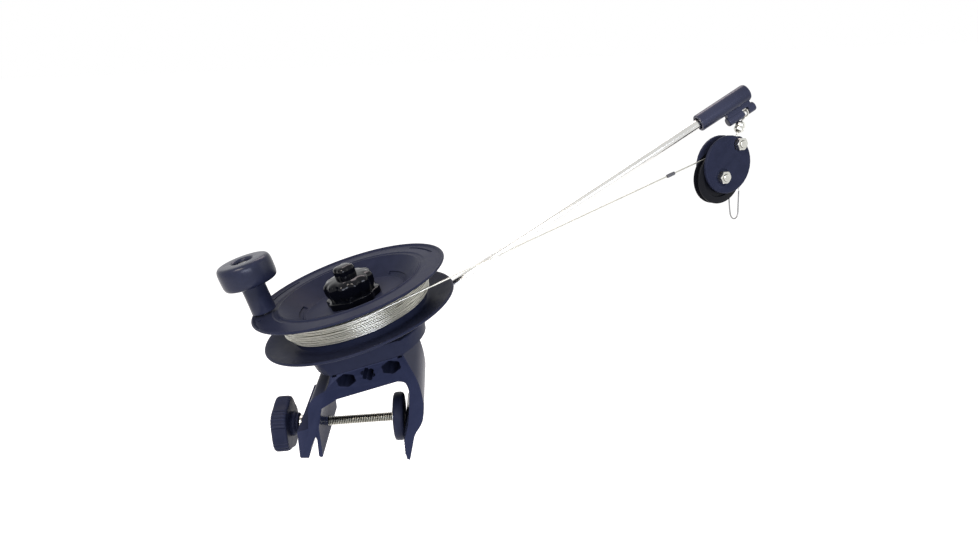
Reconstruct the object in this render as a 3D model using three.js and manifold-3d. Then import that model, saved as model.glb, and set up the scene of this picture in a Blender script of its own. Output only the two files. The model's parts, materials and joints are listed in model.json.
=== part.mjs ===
// Compact clamp-on downrigger: clamp, tilted reel with crank and brake knob, boom and hanging cable pulley.
// Millimetres, +Z up, +X along the clamp screw and out over the water, +Y away from the open front.
// The origin is the middle of the clamp's seat, the flat underside of its web.
// A table whose name ends in Shares holds fractions of the sizes that its comment names.

import * as THREE from 'three';
import { mergeVertices } from 'three/addons/utils/BufferGeometryUtils.js';
import Module from 'manifold-3d';

const wasm = await Module();
wasm.setup();

const degrees = THREE.MathUtils.degToRad;

// Fits and roundness
const GAP = 0.3;             // between two pieces that touch
const OVERRUN = 1;           // how far a cutting solid passes the face that it cuts
const SPOOL_STEPS = 36;
const KNOB_STEPS = 28;
const ROUND_STEPS = 20;
const EAR_STEPS = 16;
const SMALL_STEPS = 12;
const cornerTurns = [0, degrees(45), degrees(90)];

// Clamp bracket, one extrusion
const BRACKET_DEPTH = 76;
const JAW_SPAN = 78.3;       // left wall's outer face to the outer leg's inner face at its foot
const SEAT_RISE = 52.4;      // seat above the screw, along the reel's axis
const WEB_THICKNESS = 20.7;
const WALL_INNER_X = 10.9;
const PRONG_BOTTOM = 9.5;    // inner prong's corner below the screw
const SCREW_HOLE_RADIUS = 4.5;
const TOOTH_DEPTH = 0.7;
const TOOTH_COUNT = 5;
const PORT_DROP = 7;         // port centres below the web's top
const PORT_STEPS = 18;
const SIDE_PORT_RADIUS = 6;
const SIDE_PORT_LOBES = 6;
const MIDDLE_PORT_RADIUS = 4.4;
const MIDDLE_PORT_LOBES = 3;
const LIP_GROOVE_WIDTH = 3.8;
const LIP_GROOVE_DEPTH = 1.4;
const LIP_GROOVE_INSET = 1.2;
// Shares of the jaw span along the web, each way from the reel's axis: the web's top, the seat and the ports
const webShares = [0.401, 0.364];
const seatShares = [0.4266, 0.212];
const portPlaceShares = [-0.2656, -0.0345, 0.2082];
const seatPlaceShare = 0.7758; // reel's axis at the seat, from the left wall's outer face
// Ports: width, height and lobe depth as shares of the port's radius
const sidePortShares = [1.25, 0.9, 0.06];
const middlePortShares = [1, 1, 0.32];
// Outline points as shares of the jaw span and of the seat's rise, from the web's top round to the foot
const wallOuterShares = [[0.293, 1.073], [0.254, 0.974], [0.2, 0.93], [0.137, 0.868], [0.091, 0.803], [0.061, 0.702]];
const prongShares = [[0.03, 0.336], [-0.086, 0.296], [-0.097, -0.158], [-0.088, -0.18], [-0.006, -0.191],
  [0, -0.172], [0.043, 0.025], [0.092, 0.183], [0.104, 0.126], [0.098, -0.168], [0.118, -0.198]];
const wallFilletShares = [[0.139, 0.34], [0.14, 0.764]];
const legInnerShares = [[1.031, 1.036], [1.068, 0.996], [1.091, 0.855], [1.084, 0.716], [1.075, 0.54], [1.051, 0.275],
  [1, 0.006]];
const legFootShares = [[1.001, -0.273], [1.008, -0.349], [1.038, -0.372], [1.054, -0.281]];
const legOuterShares = [[1.083, -0.097], [1.114, 0.084], [1.172, 0.221], [1.209, 0.344], [1.23, 0.557], [1.226, 0.698],
  [1.213, 0.859], [1.183, 1.052], [1.132, 1.244]];

// Clamp screw, knob and pad, on the screw's axis
const SCREW_RADIUS = 4;
const SCREW_TIP_RADIUS = 3;
const PAD_ROOM = 1.4;        // pad's face to the outer leg's foot, as it is stored
const PAD_THICKNESS = 9.2;
const PAD_RADIUS = 21;
const PAD_ROUND = 2.6;
const PAD_SOCKET_DEPTH = 6.4;
const PAD_NECK_DEPTH = 3.2;  // pad's back wall, which the screw's tip is held behind
const PAD_CLIP_RADIUS = 5.6;
const PAD_CLIP_THICKNESS = 1;
const PAD_WASHER_RADIUS = 9;
const PAD_WASHER_THICKNESS = 1;
const KNOB_FACE_X = -20.4;   // rim's face towards the clamp
const KNOB_THICKNESS = 13.4;
const KNOB_RADIUS = 22.8;    // middle of the lobes
const KNOB_LOBES = 5;
const KNOB_LOBE_STEPS = 8;
const KNOB_TURN = degrees(-158);
const KNOB_HUB_RADIUS = 10.3;
const KNOB_HUB_LENGTH = 6.8;
const KNOB_HUB_ROOT = 6;     // hub's start inside the rim
const KNOB_BORE_DEPTH = 16;
const KNOB_WASHER_RADIUS = 7;
const KNOB_WASHER_THICKNESS = 3;
const KNOB_WASHER_ROUND = 1;
// Rim: shares of its radius and of its thickness, then the lobe depth as a share of the radius
const knobRimShares = [[0.82, 0, 0.05], [0.94, 0.05, 0.07], [0.99, 0.2, 0.07], [1, 0.8, 0.07], [0.97, 0.96, 0.07],
  [0.92, 1, 0.07]];
// Hub: shares of its radius and of its length
const knobHubShares = [[1, 0], [1.04, 0.3], [0.98, 0.55], [0.86, 0.66], [0.9, 0.78], [0.76, 1]];

// Reel axis
const REEL_TILT = degrees(14);

// Base plate with its boom socket
const PLATE_THICKNESS = 12.6;
const PLATE_BOTTOM_RADIUS = 48;
const PLATE_TOP_RADIUS = 50;
const PLATE_SHIFT = 1.5;     // plate's middle from the reel's axis, towards the knob
const PLATE_ROUND = 1.6;
const PLATE_HUB_RADIUS = 19.5;
const PLATE_HUB_RISE = 4;
const SOCKET_RADIUS = 8.2;
const SOCKET_START = -18;    // along the boom, from its reference point
const SOCKET_END = 17;
const BASE_SCREW_SPREAD = 20; // each way from the reel's axis along Y
const BASE_SCREW_RADIUS = 2.5;
const BASE_SCREW_HEAD_RADIUS = 4.3;
const BASE_SCREW_HEAD_HEIGHT = 3;
const BASE_SCREW_PROUD = 0.6; // screw's end past its nut
const BASE_NUT_FLATS = 8;
const BASE_NUT_HEIGHT = 4;
const NUT_SEAT_RADIUS = 5.2;
const NUT_SEAT_RISE = 4.6;   // flat in each port's roof, above the port's centre

// Spindle and brake stack
const SPINDLE_RADIUS = 5;
const SPINDLE_HEAD_FLATS = 17;
const SPINDLE_HEAD_HEIGHT = 6;
const SPINDLE_END_ROOM = 2;  // past the knob's insert
const FRICTION_DISC_THICKNESS = 2;
const FRICTION_DISC_RADIUS = 19;
const BUSH_OUTER_RADIUS = 7.7;
const FIBRE_WASHER_THICKNESS = 1.7;
const STEEL_WASHER_THICKNESS = 1;
const WASHER_RADIUS = 13;
const DISC_SPRING_HEIGHT = 1.5;
const DISC_SPRING_THICKNESS = 0.8;
const INSERT_RADIUS = 8;
const INSERT_HEIGHT = 13;

// Spool
const FLANGE_RADIUS = 80;
const RIM_THICKNESS = 2;
const LOWER_RIM_RISE = 9.5;  // lower rim's underside above the spool's underside
const RIM_SPACING = 26.5;    // between the two rims' undersides
const FLANGE_THICKNESS = 3;
const DRUM_RADIUS = 56;
const DRUM_WALL = 4;
const DRUM_FLOOR_RISE = 4.4; // drum's inner floor at the hub, above the spool's underside
const DRUM_FLOOR_EDGE = 7;   // the same at the drum's wall
const SPOOL_SEAT_RADIUS = 26;
const SPOOL_HUB_RADIUS = 17;
const SPOOL_BORE_RADIUS = 8;
const FLOOR_INSET = 15;      // sunken floor of the upper flange, inside the drum's radius
const FLOOR_DROP = 14.6;     // floor below the upper rim's top
const FLOOR_FILLET_WIDTH = 1.5;
const FLOOR_FILLET_RISE = 0.8;
const STEP_RISE = 3;         // step that stands on the drum's wall, above the sunken floor
const LAND_DROP = 1.4;       // flat land below the rim's top
const RIM_WIDTH = 3;         // land's edge inside the flange's radius
const CHANNEL_DEPTH = 0.8;   // shallow ring channel between the dish's edge and the land
const DRUM_FOOT_WIDTH = 2;
// Rolled rims: shares of the flange's radius and of the rim's thickness, from below round to the top
const rimShares = [[0.968, -0.35], [0.992, 0], [1, 0.25], [1, 0.75], [0.992, 1], [0.974, 0.94]];
// Lower dish: shares of the flange's radius and of its rim's rise
const dishUnderShares = [[0.4, 0.1], [0.75, 0.5]];
const dishTopShares = [[0.95, 1.06]];
const drumFootShare = 0.74;
// Upper flange: shares of the way from the drum's radius to the flange's, for the dish's edge, the channel and the land
const crossFlangeShares = [0.0833, 0.15, 0.2792, 0.3125];
// Marks in the land: shares of its width
const arcGrooveShare = 0.63;
const dimpleShare = 0.763;
const ARC_GROOVE_WIDTH = 2.4;
const ARC_GROOVE_DEPTH = 1;
const ARC_GROOVE_STEPS = 6;
const arcGrooveSpans = [[18, 48], [138, 168]].map((span) => span.map(degrees));
const DIMPLE_RADIUS = 1.4;
const DIMPLE_ANGLE = degrees(-161);
const SPOOL_SCREW_COUNT = 3;
const SPOOL_SCREW_CIRCLE = 12.6;
const SPOOL_SCREW_RADIUS = 1.8;
const SPOOL_SCREW_HEAD_RADIUS = 3.2;
const SPOOL_SCREW_HEAD_HEIGHT = 2.2;
const SPOOL_SCREW_BITE = 1.8; // into the upper flange's floor

// Winding
const WIRE_RADIUS = 0.6;
const WINDING_DEPTH = 6.3;   // outside of the wound wire, from the drum
const WINDING_FOOT_RISE = 13.6; // lowest turn above the spool's underside
const WINDING_TOP_DROP = 1.4;   // highest turn below the upper flange
const WINDING_LOOPS = 11;
const LOOP_STEPS = 24;
const WINDING_SIDES = 6;
const WINDING_BULGE = 3.4;   // how far the lowest turn draws in
const CORE_TOP_DEPTH = 3.3;  // top of the turns beneath, from the drum
// Draw-in along the winding: shares of its height and of the bulge
const windingShares = [[0, 1], [0.2, 0.45], [0.45, 0.1], [0.7, 0], [1, 0.12]];

// Crank
const CRANK_INSET = 10;      // inside the flange's radius
const CRANK_ANGLE = degrees(186);
const CRANK_BOSS_RADIUS = 14;
const CRANK_BOSS_RISE = 1.4; // boss above the land, level with the rim's top
const STEM_LENGTH = 24.2;
const HEAD_RADIUS = 22.6;
const HEAD_HEIGHT = 20;
const HEAD_RECESS_RADIUS = 6.5;
const HEAD_RECESS_DEPTH = 5;
const HEAD_RECESS_ROUND = 1;
const CRANK_PIN_RADIUS = 3;
const CRANK_PIN_HEAD_RADIUS = 5.4;
const CRANK_PIN_HEAD_HEIGHT = 2.4;
const CRANK_PIN_HEAD_ROUND = 1;
const CRANK_PIN_FOOT_HEIGHT = 1.2;
// Stem: shares of the head's radius and of the stem's length
const stemShares = [[0.425, 0], [0.412, 0.5], [0.412, 1.03]];
// Head: shares of its radius and height
const headShares = [[0.75, 0.02], [0.87, 0.05], [0.95, 0.17], [1, 0.42], [0.99, 0.62], [0.93, 0.82], [0.8, 0.96],
  [0.6, 1], [0.33, 0.98]];

// Brake knob
const BRAKE_RADIUS = 20.4;
const BRAKE_HEIGHT = 29.8;
const BRAKE_RECESS_RADIUS = 14;
const SKIRT_LOBES = 8;
const SKIRT_LOBE_STEPS = 5;
const BODY_LOBES = 11;
const BODY_LOBE_STEPS = 4;
const CROWN_LOBES = 4;
const CROWN_LOBE_STEPS = 6;
// Tiers: shares of the knob's radius and height, then lobe depth as a share of the radius
const skirtShares = [[1.02, 0, 0.045], [1.054, 0.027, 0.045], [1.054, 0.177, 0.045], [1, 0.22, 0.045], [0.84, 0.243, 0]];
const bodyShares = [[0.9, 0.155, 0], [0.93, 0.28, 0.05], [0.99, 0.36, 0.05], [1, 0.57, 0.05], [0.95, 0.662, 0.05],
  [0.84, 0.691, 0.025], [0.5, 0.705, 0]];
const crownShares = [[0.46, 0.6, 0.13], [0.46, 0.907, 0.13], [0.414, 0.975, 0.13], [0.322, 1, 0.13]];

// Boom, its reference point told in the reel's frame
const BOOM_ALONG = 40.8;
const BOOM_ACROSS = 20.5;
const BOOM_HEIGHT = 84;
const BOOM_ELEVATION = degrees(29.23);
const BOOM_AZIMUTH = degrees(7.77);
const BOOM_RADIUS = 4;
const BOOM_START = -14;      // along the boom, from its reference point
const END_START = 291.7;
const END_LENGTH = 49.6;
const END_RADIUS = 7.55;
const END_ROUND = 1.6;
const END_BORE_DEPTH = 34;
const MOUTH_RADIUS = 5.4;
const MOUTH_DEPTH = 4;
const MOUTH_ROUND = 0.8;
const SET_SCREW_RADIUS = 2.5;
const SET_SCREW_LENGTH = 3.6;
const SET_SCREW_PLACE = 10;
const LUG_DROP = 14.4;       // lug's axis under the boom's
const LUG_RADIUS = 4.2;
const LUG_ROUND = 1.2;
const LUG_START = 315.4;
const LUG_END = 343.1;
const LUG_WEB_WIDTH = 5;
const SLOT_WIDTH = 5.8;
const SLOT_MIDDLE = 333.4;
const HANG_POINT = 334.3;    // where the eye hangs on the pin
const PIN_RADIUS = 0.9;
const PIN_INSET = 1;

// Swivel, in the wire's plane
const EYE_WIRE_RADIUS = 0.8;
const EYE_STEPS = 16;
const EYE_SIDES = 6;
const UPPER_EYE_RADIUS = 3.4;
const UPPER_EYE_DROP = 1.2;  // ring's middle below the pin
const UPPER_EYE_TURN = degrees(20); // ring's axis from the pin's, towards the hanger
const LOWER_EYE_RADIUS = 4.3;
const BARREL_RADIUS = 4.3;
const BARREL_STEPS = 16;
const BARREL_START = 9.6;    // below the pin
const BARREL_LENGTH = 9.8;
const EYE_STEM_DEPTH = 3;    // eye stems inside the barrel
const PLANE_LEAN = degrees(5.3); // block's plane from upright
const HANGER_LENGTH = 29.6;  // hanger pin to the ear bolt
const HANGER_LEAN = degrees(24);
// Barrel: shares of its radius and length
const barrelShares = [[0.5, 0], [0.78, 0.12], [1, 0.24], [1, 0.46], [0.86, 0.5], [1, 0.54], [1, 0.76], [0.78, 0.88],
  [0.5, 1]];

// Block
const BLOCK_LEAN = degrees(32.7);
const EAR_TO_AXLE = 32.1;
const CHEEK_RADIUS = 25;
const CHEEK_RISE = 12.1;     // cheek's middle above the axle, towards the ear
const CHEEK_THICKNESS = 2.7;
const CHEEK_BEVEL = 0.8;
const CHEEK_STEPS = 32;
const EAR_RADIUS = 6.6;
const BLOCK_INNER_WIDTH = 8;
const NUT_RECESS_RADIUS = 7.6;
const EAR_RECESS_RADIUS = 5.9;
const RECESS_DEPTH = 0.8;
const BOLT_RADIUS = 3;
const BOLT_FLATS = 10;
const BOLT_HEAD_HEIGHT = 4;
const BOLT_PROUD = 1;
const BOLT_END_ROUND = 0.5;
const NUT_HEIGHT = 5;
const NUT_CHAMFER = 0.6;
const EAR_SPACER_RADIUS = 4.6;

// Sheave
const SHEAVE_RADIUS = 23.2;
const SHEAVE_WIDTH = 7.3;
const SHEAVE_STEPS = 32;
const SHEAVE_BUSH_RADIUS = 4.6;
const SHEAVE_HUB_RADIUS = 10;
const SHEAVE_WEB_RADIUS = 17.2;
const SHEAVE_WEB_WIDTH = 4.4;
const GROOVE_MOUTH_WIDTH = 5;
const GROOVE_FLOOR_WIDTH = 2.6;
const WRAP_RADIUS = 20;      // wire's middle in the groove

// Wire
const WIRE_EXIT_DROP = 5;    // under the upper flange
const WIRE_LAP = degrees(55);
const WIRE_LAP_STEPS = 12;
const WIRE_SIDES = 8;
const WIRE_ARC_STEPS = 12;
const WIRE_BEND_STEPS = 6;
const TAIL_LENGTH = 17;      // straight wire on the block's side, before the groove
const LEAD_LENGTH = 25;
const STOP_BEAD_LENGTH = 8;
const STOP_BEAD_RADIUS = 1.6;
const LOOP_OFFSET = 5.1;     // end loop's long leg outside the groove's tangent
const LOOP_BEND_DROP = 9;    // where the wire has reached that offset, below the axle
const LOOP_TOP = 15;         // loop's top below the axle
const LOOP_TUBE_STEPS = 30;
// End loop: shares of the wrap radius, outward and downward, as corners of three curves
const longLegShares = [[1.255, 1.1], [1.25, 1.4], [1.255, 1.7]];
const footShares = [[1.255, 1.7], [1.26, 2.09], [0.88, 2.11], [0.8, 1.71]];
const shortLegShares = [[0.8, 1.71], [0.75, 1.45], [0.72, 1.2], [0.7, 0.9]];

// Materials
const finish = {
  bracket: { color: 0x2f3447, roughness: 0.5, metalness: 0.35 },
  moulding: { color: 0x2c3040, roughness: 0.45, metalness: 0 },
  gloss: { color: 0x0c0d12, roughness: 0.15, metalness: 0 },
  steel: { color: 0xc9cac8, roughness: 0.25, metalness: 1 },
  wire: { color: 0xb9b8ae, roughness: 0.35, metalness: 1 },
  brass: { color: 0xb08d4a, roughness: 0.35, metalness: 1 },
  fibre: { color: 0x5a4a3a, roughness: 0.9, metalness: 0 },
  bead: { color: 0x5b5c60, roughness: 0.5, metalness: 0.6 },
};

// Solids
function weld(geometry) {
  const bare = geometry.index ? geometry.toNonIndexed() : geometry.clone();
  bare.deleteAttribute('normal');
  bare.deleteAttribute('uv');
  const merged = mergeVertices(bare, 1e-4);
  const index = merged.index.array;
  const kept = [];
  for (let i = 0; i < index.length; i += 3) {
    const [a, b, c] = [index[i], index[i + 1], index[i + 2]];
    if (a !== b && b !== c && c !== a) kept.push(a, b, c);
  }
  merged.setIndex(kept);
  return volumeOf(merged) < 0 ? insideOut(merged) : merged;
}

function volumeOf(geometry) {
  const place = geometry.attributes.position;
  const index = geometry.index.array;
  const corners = [new THREE.Vector3(), new THREE.Vector3(), new THREE.Vector3()];
  let sum = 0;
  for (let i = 0; i < index.length; i += 3) {
    corners.forEach((corner, k) => corner.fromBufferAttribute(place, index[i + k]));
    sum += corners[0].dot(corners[1].clone().cross(corners[2]));
  }
  return sum / 6;
}

function insideOut(geometry) {
  const index = Array.from(geometry.index.array);
  for (let i = 0; i < index.length; i += 3) {
    [index[i + 1], index[i + 2]] = [index[i + 2], index[i + 1]];
  }
  geometry.setIndex(index);
  return geometry;
}

function toSolid(geometry) {
  const welded = weld(geometry);
  return new wasm.Manifold(new wasm.Mesh({
    numProp: 3,
    vertProperties: new Float32Array(welded.attributes.position.array),
    triVerts: new Uint32Array(welded.index.array),
  }));
}

function toGeometry(solid) {
  const mesh = solid.getMesh();
  const geometry = new THREE.BufferGeometry();
  geometry.setAttribute('position', new THREE.BufferAttribute(new Float32Array(mesh.vertProperties), 3));
  geometry.setIndex(Array.from(mesh.triVerts));
  return geometry;
}

function joined(...geometries) {
  return toGeometry(geometries.map(toSolid).reduce((whole, next) => whole.add(next)));
}

function cut(body, ...tools) {
  return toGeometry(tools.map(toSolid).reduce((whole, next) => whole.subtract(next), toSolid(body)));
}

function common(first, second) {
  return toGeometry(toSolid(first).intersect(toSolid(second)));
}

// A closed profile of [radius, height] turned about Z
function turned(profile, steps = ROUND_STEPS) {
  const loop = [...profile, profile[0]].map(([radius, height]) => new THREE.Vector2(radius, height));
  return new THREE.LatheGeometry(loop, steps).rotateX(Math.PI / 2);
}

// Shares of a radius and a height, from a foot upwards
function scaled(shares, radius, height, foot = 0) {
  return shares.map(([r, h, ...rest]) => [r * radius, foot + h * height, ...rest]);
}

// Rounded outer edges of a turned profile, walked with the height rising
function lowerEdge(radius, level, round) {
  return cornerTurns.map((turn) => [radius - round * (1 - Math.sin(turn)), level + round * (1 - Math.cos(turn))]);
}

function upperEdge(radius, level, round) {
  return cornerTurns.map((turn) => [radius - round * (1 - Math.cos(turn)), level - round * (1 - Math.sin(turn))]);
}

function cylinder(radius, bottom, top, steps = SMALL_STEPS) {
  return turned([[0, bottom], [radius, bottom], [radius, top], [0, top]], steps);
}

function ring(inner, outer, bottom, top, steps = SMALL_STEPS) {
  return turned([[inner, bottom], [outer, bottom], [outer, top], [inner, top]], steps);
}

function box(x0, x1, y0, y1, z0, z1) {
  return new THREE.BoxGeometry(x1 - x0, y1 - y0, z1 - z0).translate((x0 + x1) / 2, (y0 + y1) / 2, (z0 + z1) / 2);
}

function polygon(sides, radius, start = 0) {
  return Array.from({ length: sides }, (_, i) => {
    const angle = start + 2 * Math.PI * i / sides;
    return [radius * Math.cos(angle), radius * Math.sin(angle)];
  });
}

function hexPrism(flats, bottom, top) {
  const shape = new THREE.Shape(polygon(6, flats / Math.sqrt(3)).map(([x, y]) => new THREE.Vector2(x, y)));
  return new THREE.ExtrudeGeometry(shape, { depth: top - bottom, bevelEnabled: false }).translate(0, 0, bottom);
}

// A closed skin over rings that all have the same number of points
function skinned(rings) {
  const count = rings[0].length;
  const vertices = [...rings.flat(), middleOf(rings[0]), middleOf(rings.at(-1))];
  const index = [];
  for (let r = 0; r + 1 < rings.length; r += 1) {
    for (let i = 0; i < count; i += 1) {
      const a = r * count + i;
      const b = r * count + (i + 1) % count;
      index.push(a, b, b + count, a, b + count, a + count);
    }
  }
  const lastRing = (rings.length - 1) * count;
  for (let i = 0; i < count; i += 1) {
    const next = (i + 1) % count;
    index.push(vertices.length - 2, next, i);
    index.push(vertices.length - 1, lastRing + i, lastRing + next);
  }
  const geometry = new THREE.BufferGeometry();
  const numbers = vertices.flatMap((v) => [v.x, v.y, v.z]);
  geometry.setAttribute('position', new THREE.BufferAttribute(new Float32Array(numbers), 3));
  geometry.setIndex(index);
  return weld(geometry);
}

function middleOf(points) {
  return points.reduce((sum, v) => sum.add(v), new THREE.Vector3()).divideScalar(points.length);
}

// A lobed stack: each level is [radius, height, lobe share]
function lobedStack(levels, lobes, stepsPerLobe) {
  const steps = lobes * stepsPerLobe;
  return skinned(levels.map(([radius, height, lobe]) => Array.from({ length: steps }, (_, i) => {
    const angle = 2 * Math.PI * i / steps;
    const reach = radius * (1 + lobe * Math.cos(lobes * angle));
    return new THREE.Vector3(reach * Math.cos(angle), reach * Math.sin(angle), height);
  })));
}

// A round tube through points, its rings square to the path
function tube(points, radius, sides, up = new THREE.Vector3(0, 0, 1)) {
  const last = points.length - 1;
  return skinned(points.map((point, i) => {
    const before = point.clone().sub(points[Math.max(i - 1, 0)]).normalize();
    const after = points[Math.min(i + 1, last)].clone().sub(point).normalize();
    const along = before.add(after).normalize();
    const across = up.clone().cross(along).normalize();
    const lift = along.clone().cross(across);
    return polygon(sides, radius, Math.PI / sides).map(([a, b]) => (
      point.clone().addScaledVector(across, a).addScaledVector(lift, b)));
  }));
}

// Places along the jaw: the reel's axis where it meets the screw's height, and the web's and the seat's ends
const reelX = seatPlaceShare * JAW_SPAN + SEAT_RISE * Math.sin(REEL_TILT);
const [webKnobSide, webBoatSide] = webShares.map((share) => share * JAW_SPAN);
const [seatKnobSide, seatBoatSide] = seatShares.map((share) => share * JAW_SPAN);
const portPlaces = portPlaceShares.map((share) => share * JAW_SPAN);
const padBack = JAW_SPAN - PAD_ROOM - PAD_THICKNESS;

// Frames
const model = new THREE.Group();
const clampFrame = new THREE.Group();
const reelFrame = new THREE.Group();
model.add(clampFrame);
clampFrame.add(reelFrame);
reelFrame.position.set(reelX, 0, 0);
reelFrame.rotation.y = -REEL_TILT;
clampFrame.position.copy(fromReel((seatBoatSide - seatKnobSide) / 2, 0, SEAT_RISE)).negate();

// A place in the reel's frame, told in the clamp's frame
function fromReel(along, across, height) {
  return new THREE.Vector3(along, across, height)
    .applyAxisAngle(new THREE.Vector3(0, 1, 0), -REEL_TILT)
    .add(new THREE.Vector3(reelX, 0, 0));
}

function toReel(point) {
  return point.clone().sub(new THREE.Vector3(reelX, 0, 0)).applyAxisAngle(new THREE.Vector3(0, 1, 0), REEL_TILT);
}

// The same for solids
function ontoReel(geometry) {
  return geometry.rotateY(-REEL_TILT).translate(reelX, 0, 0);
}

function intoReel(geometry) {
  return geometry.translate(-reelX, 0, 0).rotateY(REEL_TILT);
}

function addPiece(frame, name, geometry, material) {
  const welded = weld(geometry);
  welded.computeVertexNormals();
  const mesh = new THREE.Mesh(welded, new THREE.MeshStandardMaterial(material));
  mesh.name = name;
  frame.add(mesh);
}

// Heights along the reel's axis, from the clamp upwards
const webTop = SEAT_RISE + WEB_THICKNESS;
const portMiddle = webTop - PORT_DROP;
const plateBottom = webTop + GAP;
const plateTop = plateBottom + PLATE_THICKNESS;
const hubTop = plateTop + PLATE_HUB_RISE;
const frictionTop = hubTop + GAP + FRICTION_DISC_THICKNESS;
const spoolBottom = frictionTop + GAP;
const lowerRim = spoolBottom + LOWER_RIM_RISE;
const upperRim = lowerRim + RIM_SPACING;
const upperRimTop = upperRim + RIM_THICKNESS;
const landTop = upperRimTop - LAND_DROP;
const landUnderside = landTop - FLANGE_THICKNESS;
const floorTop = upperRimTop - FLOOR_DROP;
const floorUnderside = floorTop - FLANGE_THICKNESS;
const stepUnderside = floorTop + STEP_RISE + GAP;
const knobFoot = floorTop + GAP;
const fibreTop = knobFoot + FIBRE_WASHER_THICKNESS;
const steelTop = fibreTop + GAP + STEEL_WASHER_THICKNESS;
const springTop = steelTop + GAP + DISC_SPRING_HEIGHT;
const insertFoot = springTop + 2 * GAP;
const insertTop = insertFoot + INSERT_HEIGHT;
const spindleTop = insertTop + SPINDLE_END_ROOM;
const stemFoot = landTop + CRANK_BOSS_RISE + GAP;

// Clamp bracket
function jawPoints(shares) {
  return shares.map(([x, z]) => new THREE.Vector2(x * JAW_SPAN, z * SEAT_RISE));
}

function reelPoint(along, height) {
  const place = fromReel(along, 0, height);
  return new THREE.Vector2(place.x, place.z);
}

function lineThrough(outline, points) {
  points.forEach((point) => outline.lineTo(point.x, point.y));
}

// Teeth down the inner face of the outer leg's foot
function footTeeth() {
  const start = jawPoints(legInnerShares).at(-1);
  const end = jawPoints(legFootShares)[0];
  return Array.from({ length: 2 * TOOTH_COUNT }, (_, i) => {
    const point = start.clone().lerp(end, (i + 1) / (2 * TOOTH_COUNT));
    return i % 2 ? point : point.add(new THREE.Vector2(-TOOTH_DEPTH, 0));
  });
}

function bracketOutline() {
  const outline = new THREE.Shape();
  const topKnob = reelPoint(-webKnobSide, webTop);
  const topBoat = reelPoint(webBoatSide, webTop);
  const [filletStart, filletControl] = jawPoints(wallFilletShares);
  const filletEnd = reelPoint(-seatKnobSide, SEAT_RISE);
  outline.moveTo(topKnob.x, topKnob.y);
  outline.splineThru(jawPoints(wallOuterShares));
  lineThrough(outline, [...jawPoints(prongShares), new THREE.Vector2(WALL_INNER_X, -PRONG_BOTTOM), filletStart]);
  outline.quadraticCurveTo(filletControl.x, filletControl.y, filletEnd.x, filletEnd.y);
  lineThrough(outline, [reelPoint(seatBoatSide, SEAT_RISE)]);
  outline.splineThru(jawPoints(legInnerShares));
  lineThrough(outline, [...footTeeth(), ...jawPoints(legFootShares).slice(1)]);
  outline.splineThru([...jawPoints(legOuterShares), topBoat]);
  return outline;
}

function port(radius, lobes, [width, height, lobe], along) {
  return new THREE.Path(Array.from({ length: PORT_STEPS }, (_, i) => {
    const angle = 2 * Math.PI * i / PORT_STEPS;
    const reach = radius * (1 + lobe * Math.cos(lobes * angle));
    return reelPoint(along + width * reach * Math.sin(angle), portMiddle + height * reach * Math.cos(angle));
  })).closePath();
}

// The notch that shows at each end of the joint under the base plate
function lipGroove(side, reach) {
  const outer = side * (reach - LIP_GROOVE_INSET);
  const inner = outer - side * LIP_GROOVE_WIDTH;
  return ontoReel(box(Math.min(outer, inner), Math.max(outer, inner), -BRACKET_DEPTH, BRACKET_DEPTH,
    webTop - LIP_GROOVE_DEPTH, webTop + OVERRUN));
}

const [knobPort, middlePort, boatPort] = portPlaces;
const baseScrewPlaces = [knobPort, boatPort].flatMap((along) => (
  [-BASE_SCREW_SPREAD, BASE_SCREW_SPREAD].map((across) => [along, across, 0])));

function makeBracket() {
  const outline = bracketOutline();
  outline.holes.push(
    port(SIDE_PORT_RADIUS, SIDE_PORT_LOBES, sidePortShares, knobPort),
    port(SIDE_PORT_RADIUS, SIDE_PORT_LOBES, sidePortShares, boatPort),
    port(MIDDLE_PORT_RADIUS, MIDDLE_PORT_LOBES, middlePortShares, middlePort),
  );
  const bar = new THREE.ExtrudeGeometry(outline, { depth: BRACKET_DEPTH, bevelEnabled: false, curveSegments: 2 })
    .rotateX(Math.PI / 2).translate(0, BRACKET_DEPTH / 2, 0);
  const baseHoles = baseScrewPlaces.flatMap((place) => [
    ontoReel(cylinder(BASE_SCREW_RADIUS + GAP, portMiddle, webTop + OVERRUN).translate(...place)),
    ontoReel(cylinder(NUT_SEAT_RADIUS, portMiddle, portMiddle + NUT_SEAT_RISE).translate(...place)),
  ]);
  const screwHole = alongScrew(cylinder(SCREW_HOLE_RADIUS, -JAW_SPAN / 2, JAW_SPAN / 2, ROUND_STEPS));
  return cut(bar, lipGroove(-1, webKnobSide), lipGroove(1, webBoatSide), screwHole, ...baseHoles);
}

// Clamp screw, knob and pad: each is turned about Z, then laid along X
function alongScrew(geometry) {
  return geometry.rotateY(Math.PI / 2);
}

const hubFace = KNOB_FACE_X + KNOB_HUB_LENGTH;
const padNeck = padBack + PAD_NECK_DEPTH;

function makePad() {
  const face = padBack + PAD_THICKNESS;
  const socketFloor = padBack + PAD_SOCKET_DEPTH;
  return alongScrew(turned([
    [SCREW_RADIUS + GAP, padBack], ...lowerEdge(PAD_RADIUS, padBack, PAD_ROUND), ...upperEdge(PAD_RADIUS, face, PAD_ROUND),
    [0, face], [0, socketFloor], [PAD_CLIP_RADIUS + GAP, socketFloor], [PAD_CLIP_RADIUS + GAP, padNeck],
    [SCREW_RADIUS + GAP, padNeck],
  ], KNOB_STEPS));
}

function makePadWasher() {
  const face = padBack - GAP;
  return alongScrew(ring(SCREW_RADIUS + GAP, PAD_WASHER_RADIUS, face - PAD_WASHER_THICKNESS, face, ROUND_STEPS));
}

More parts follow.
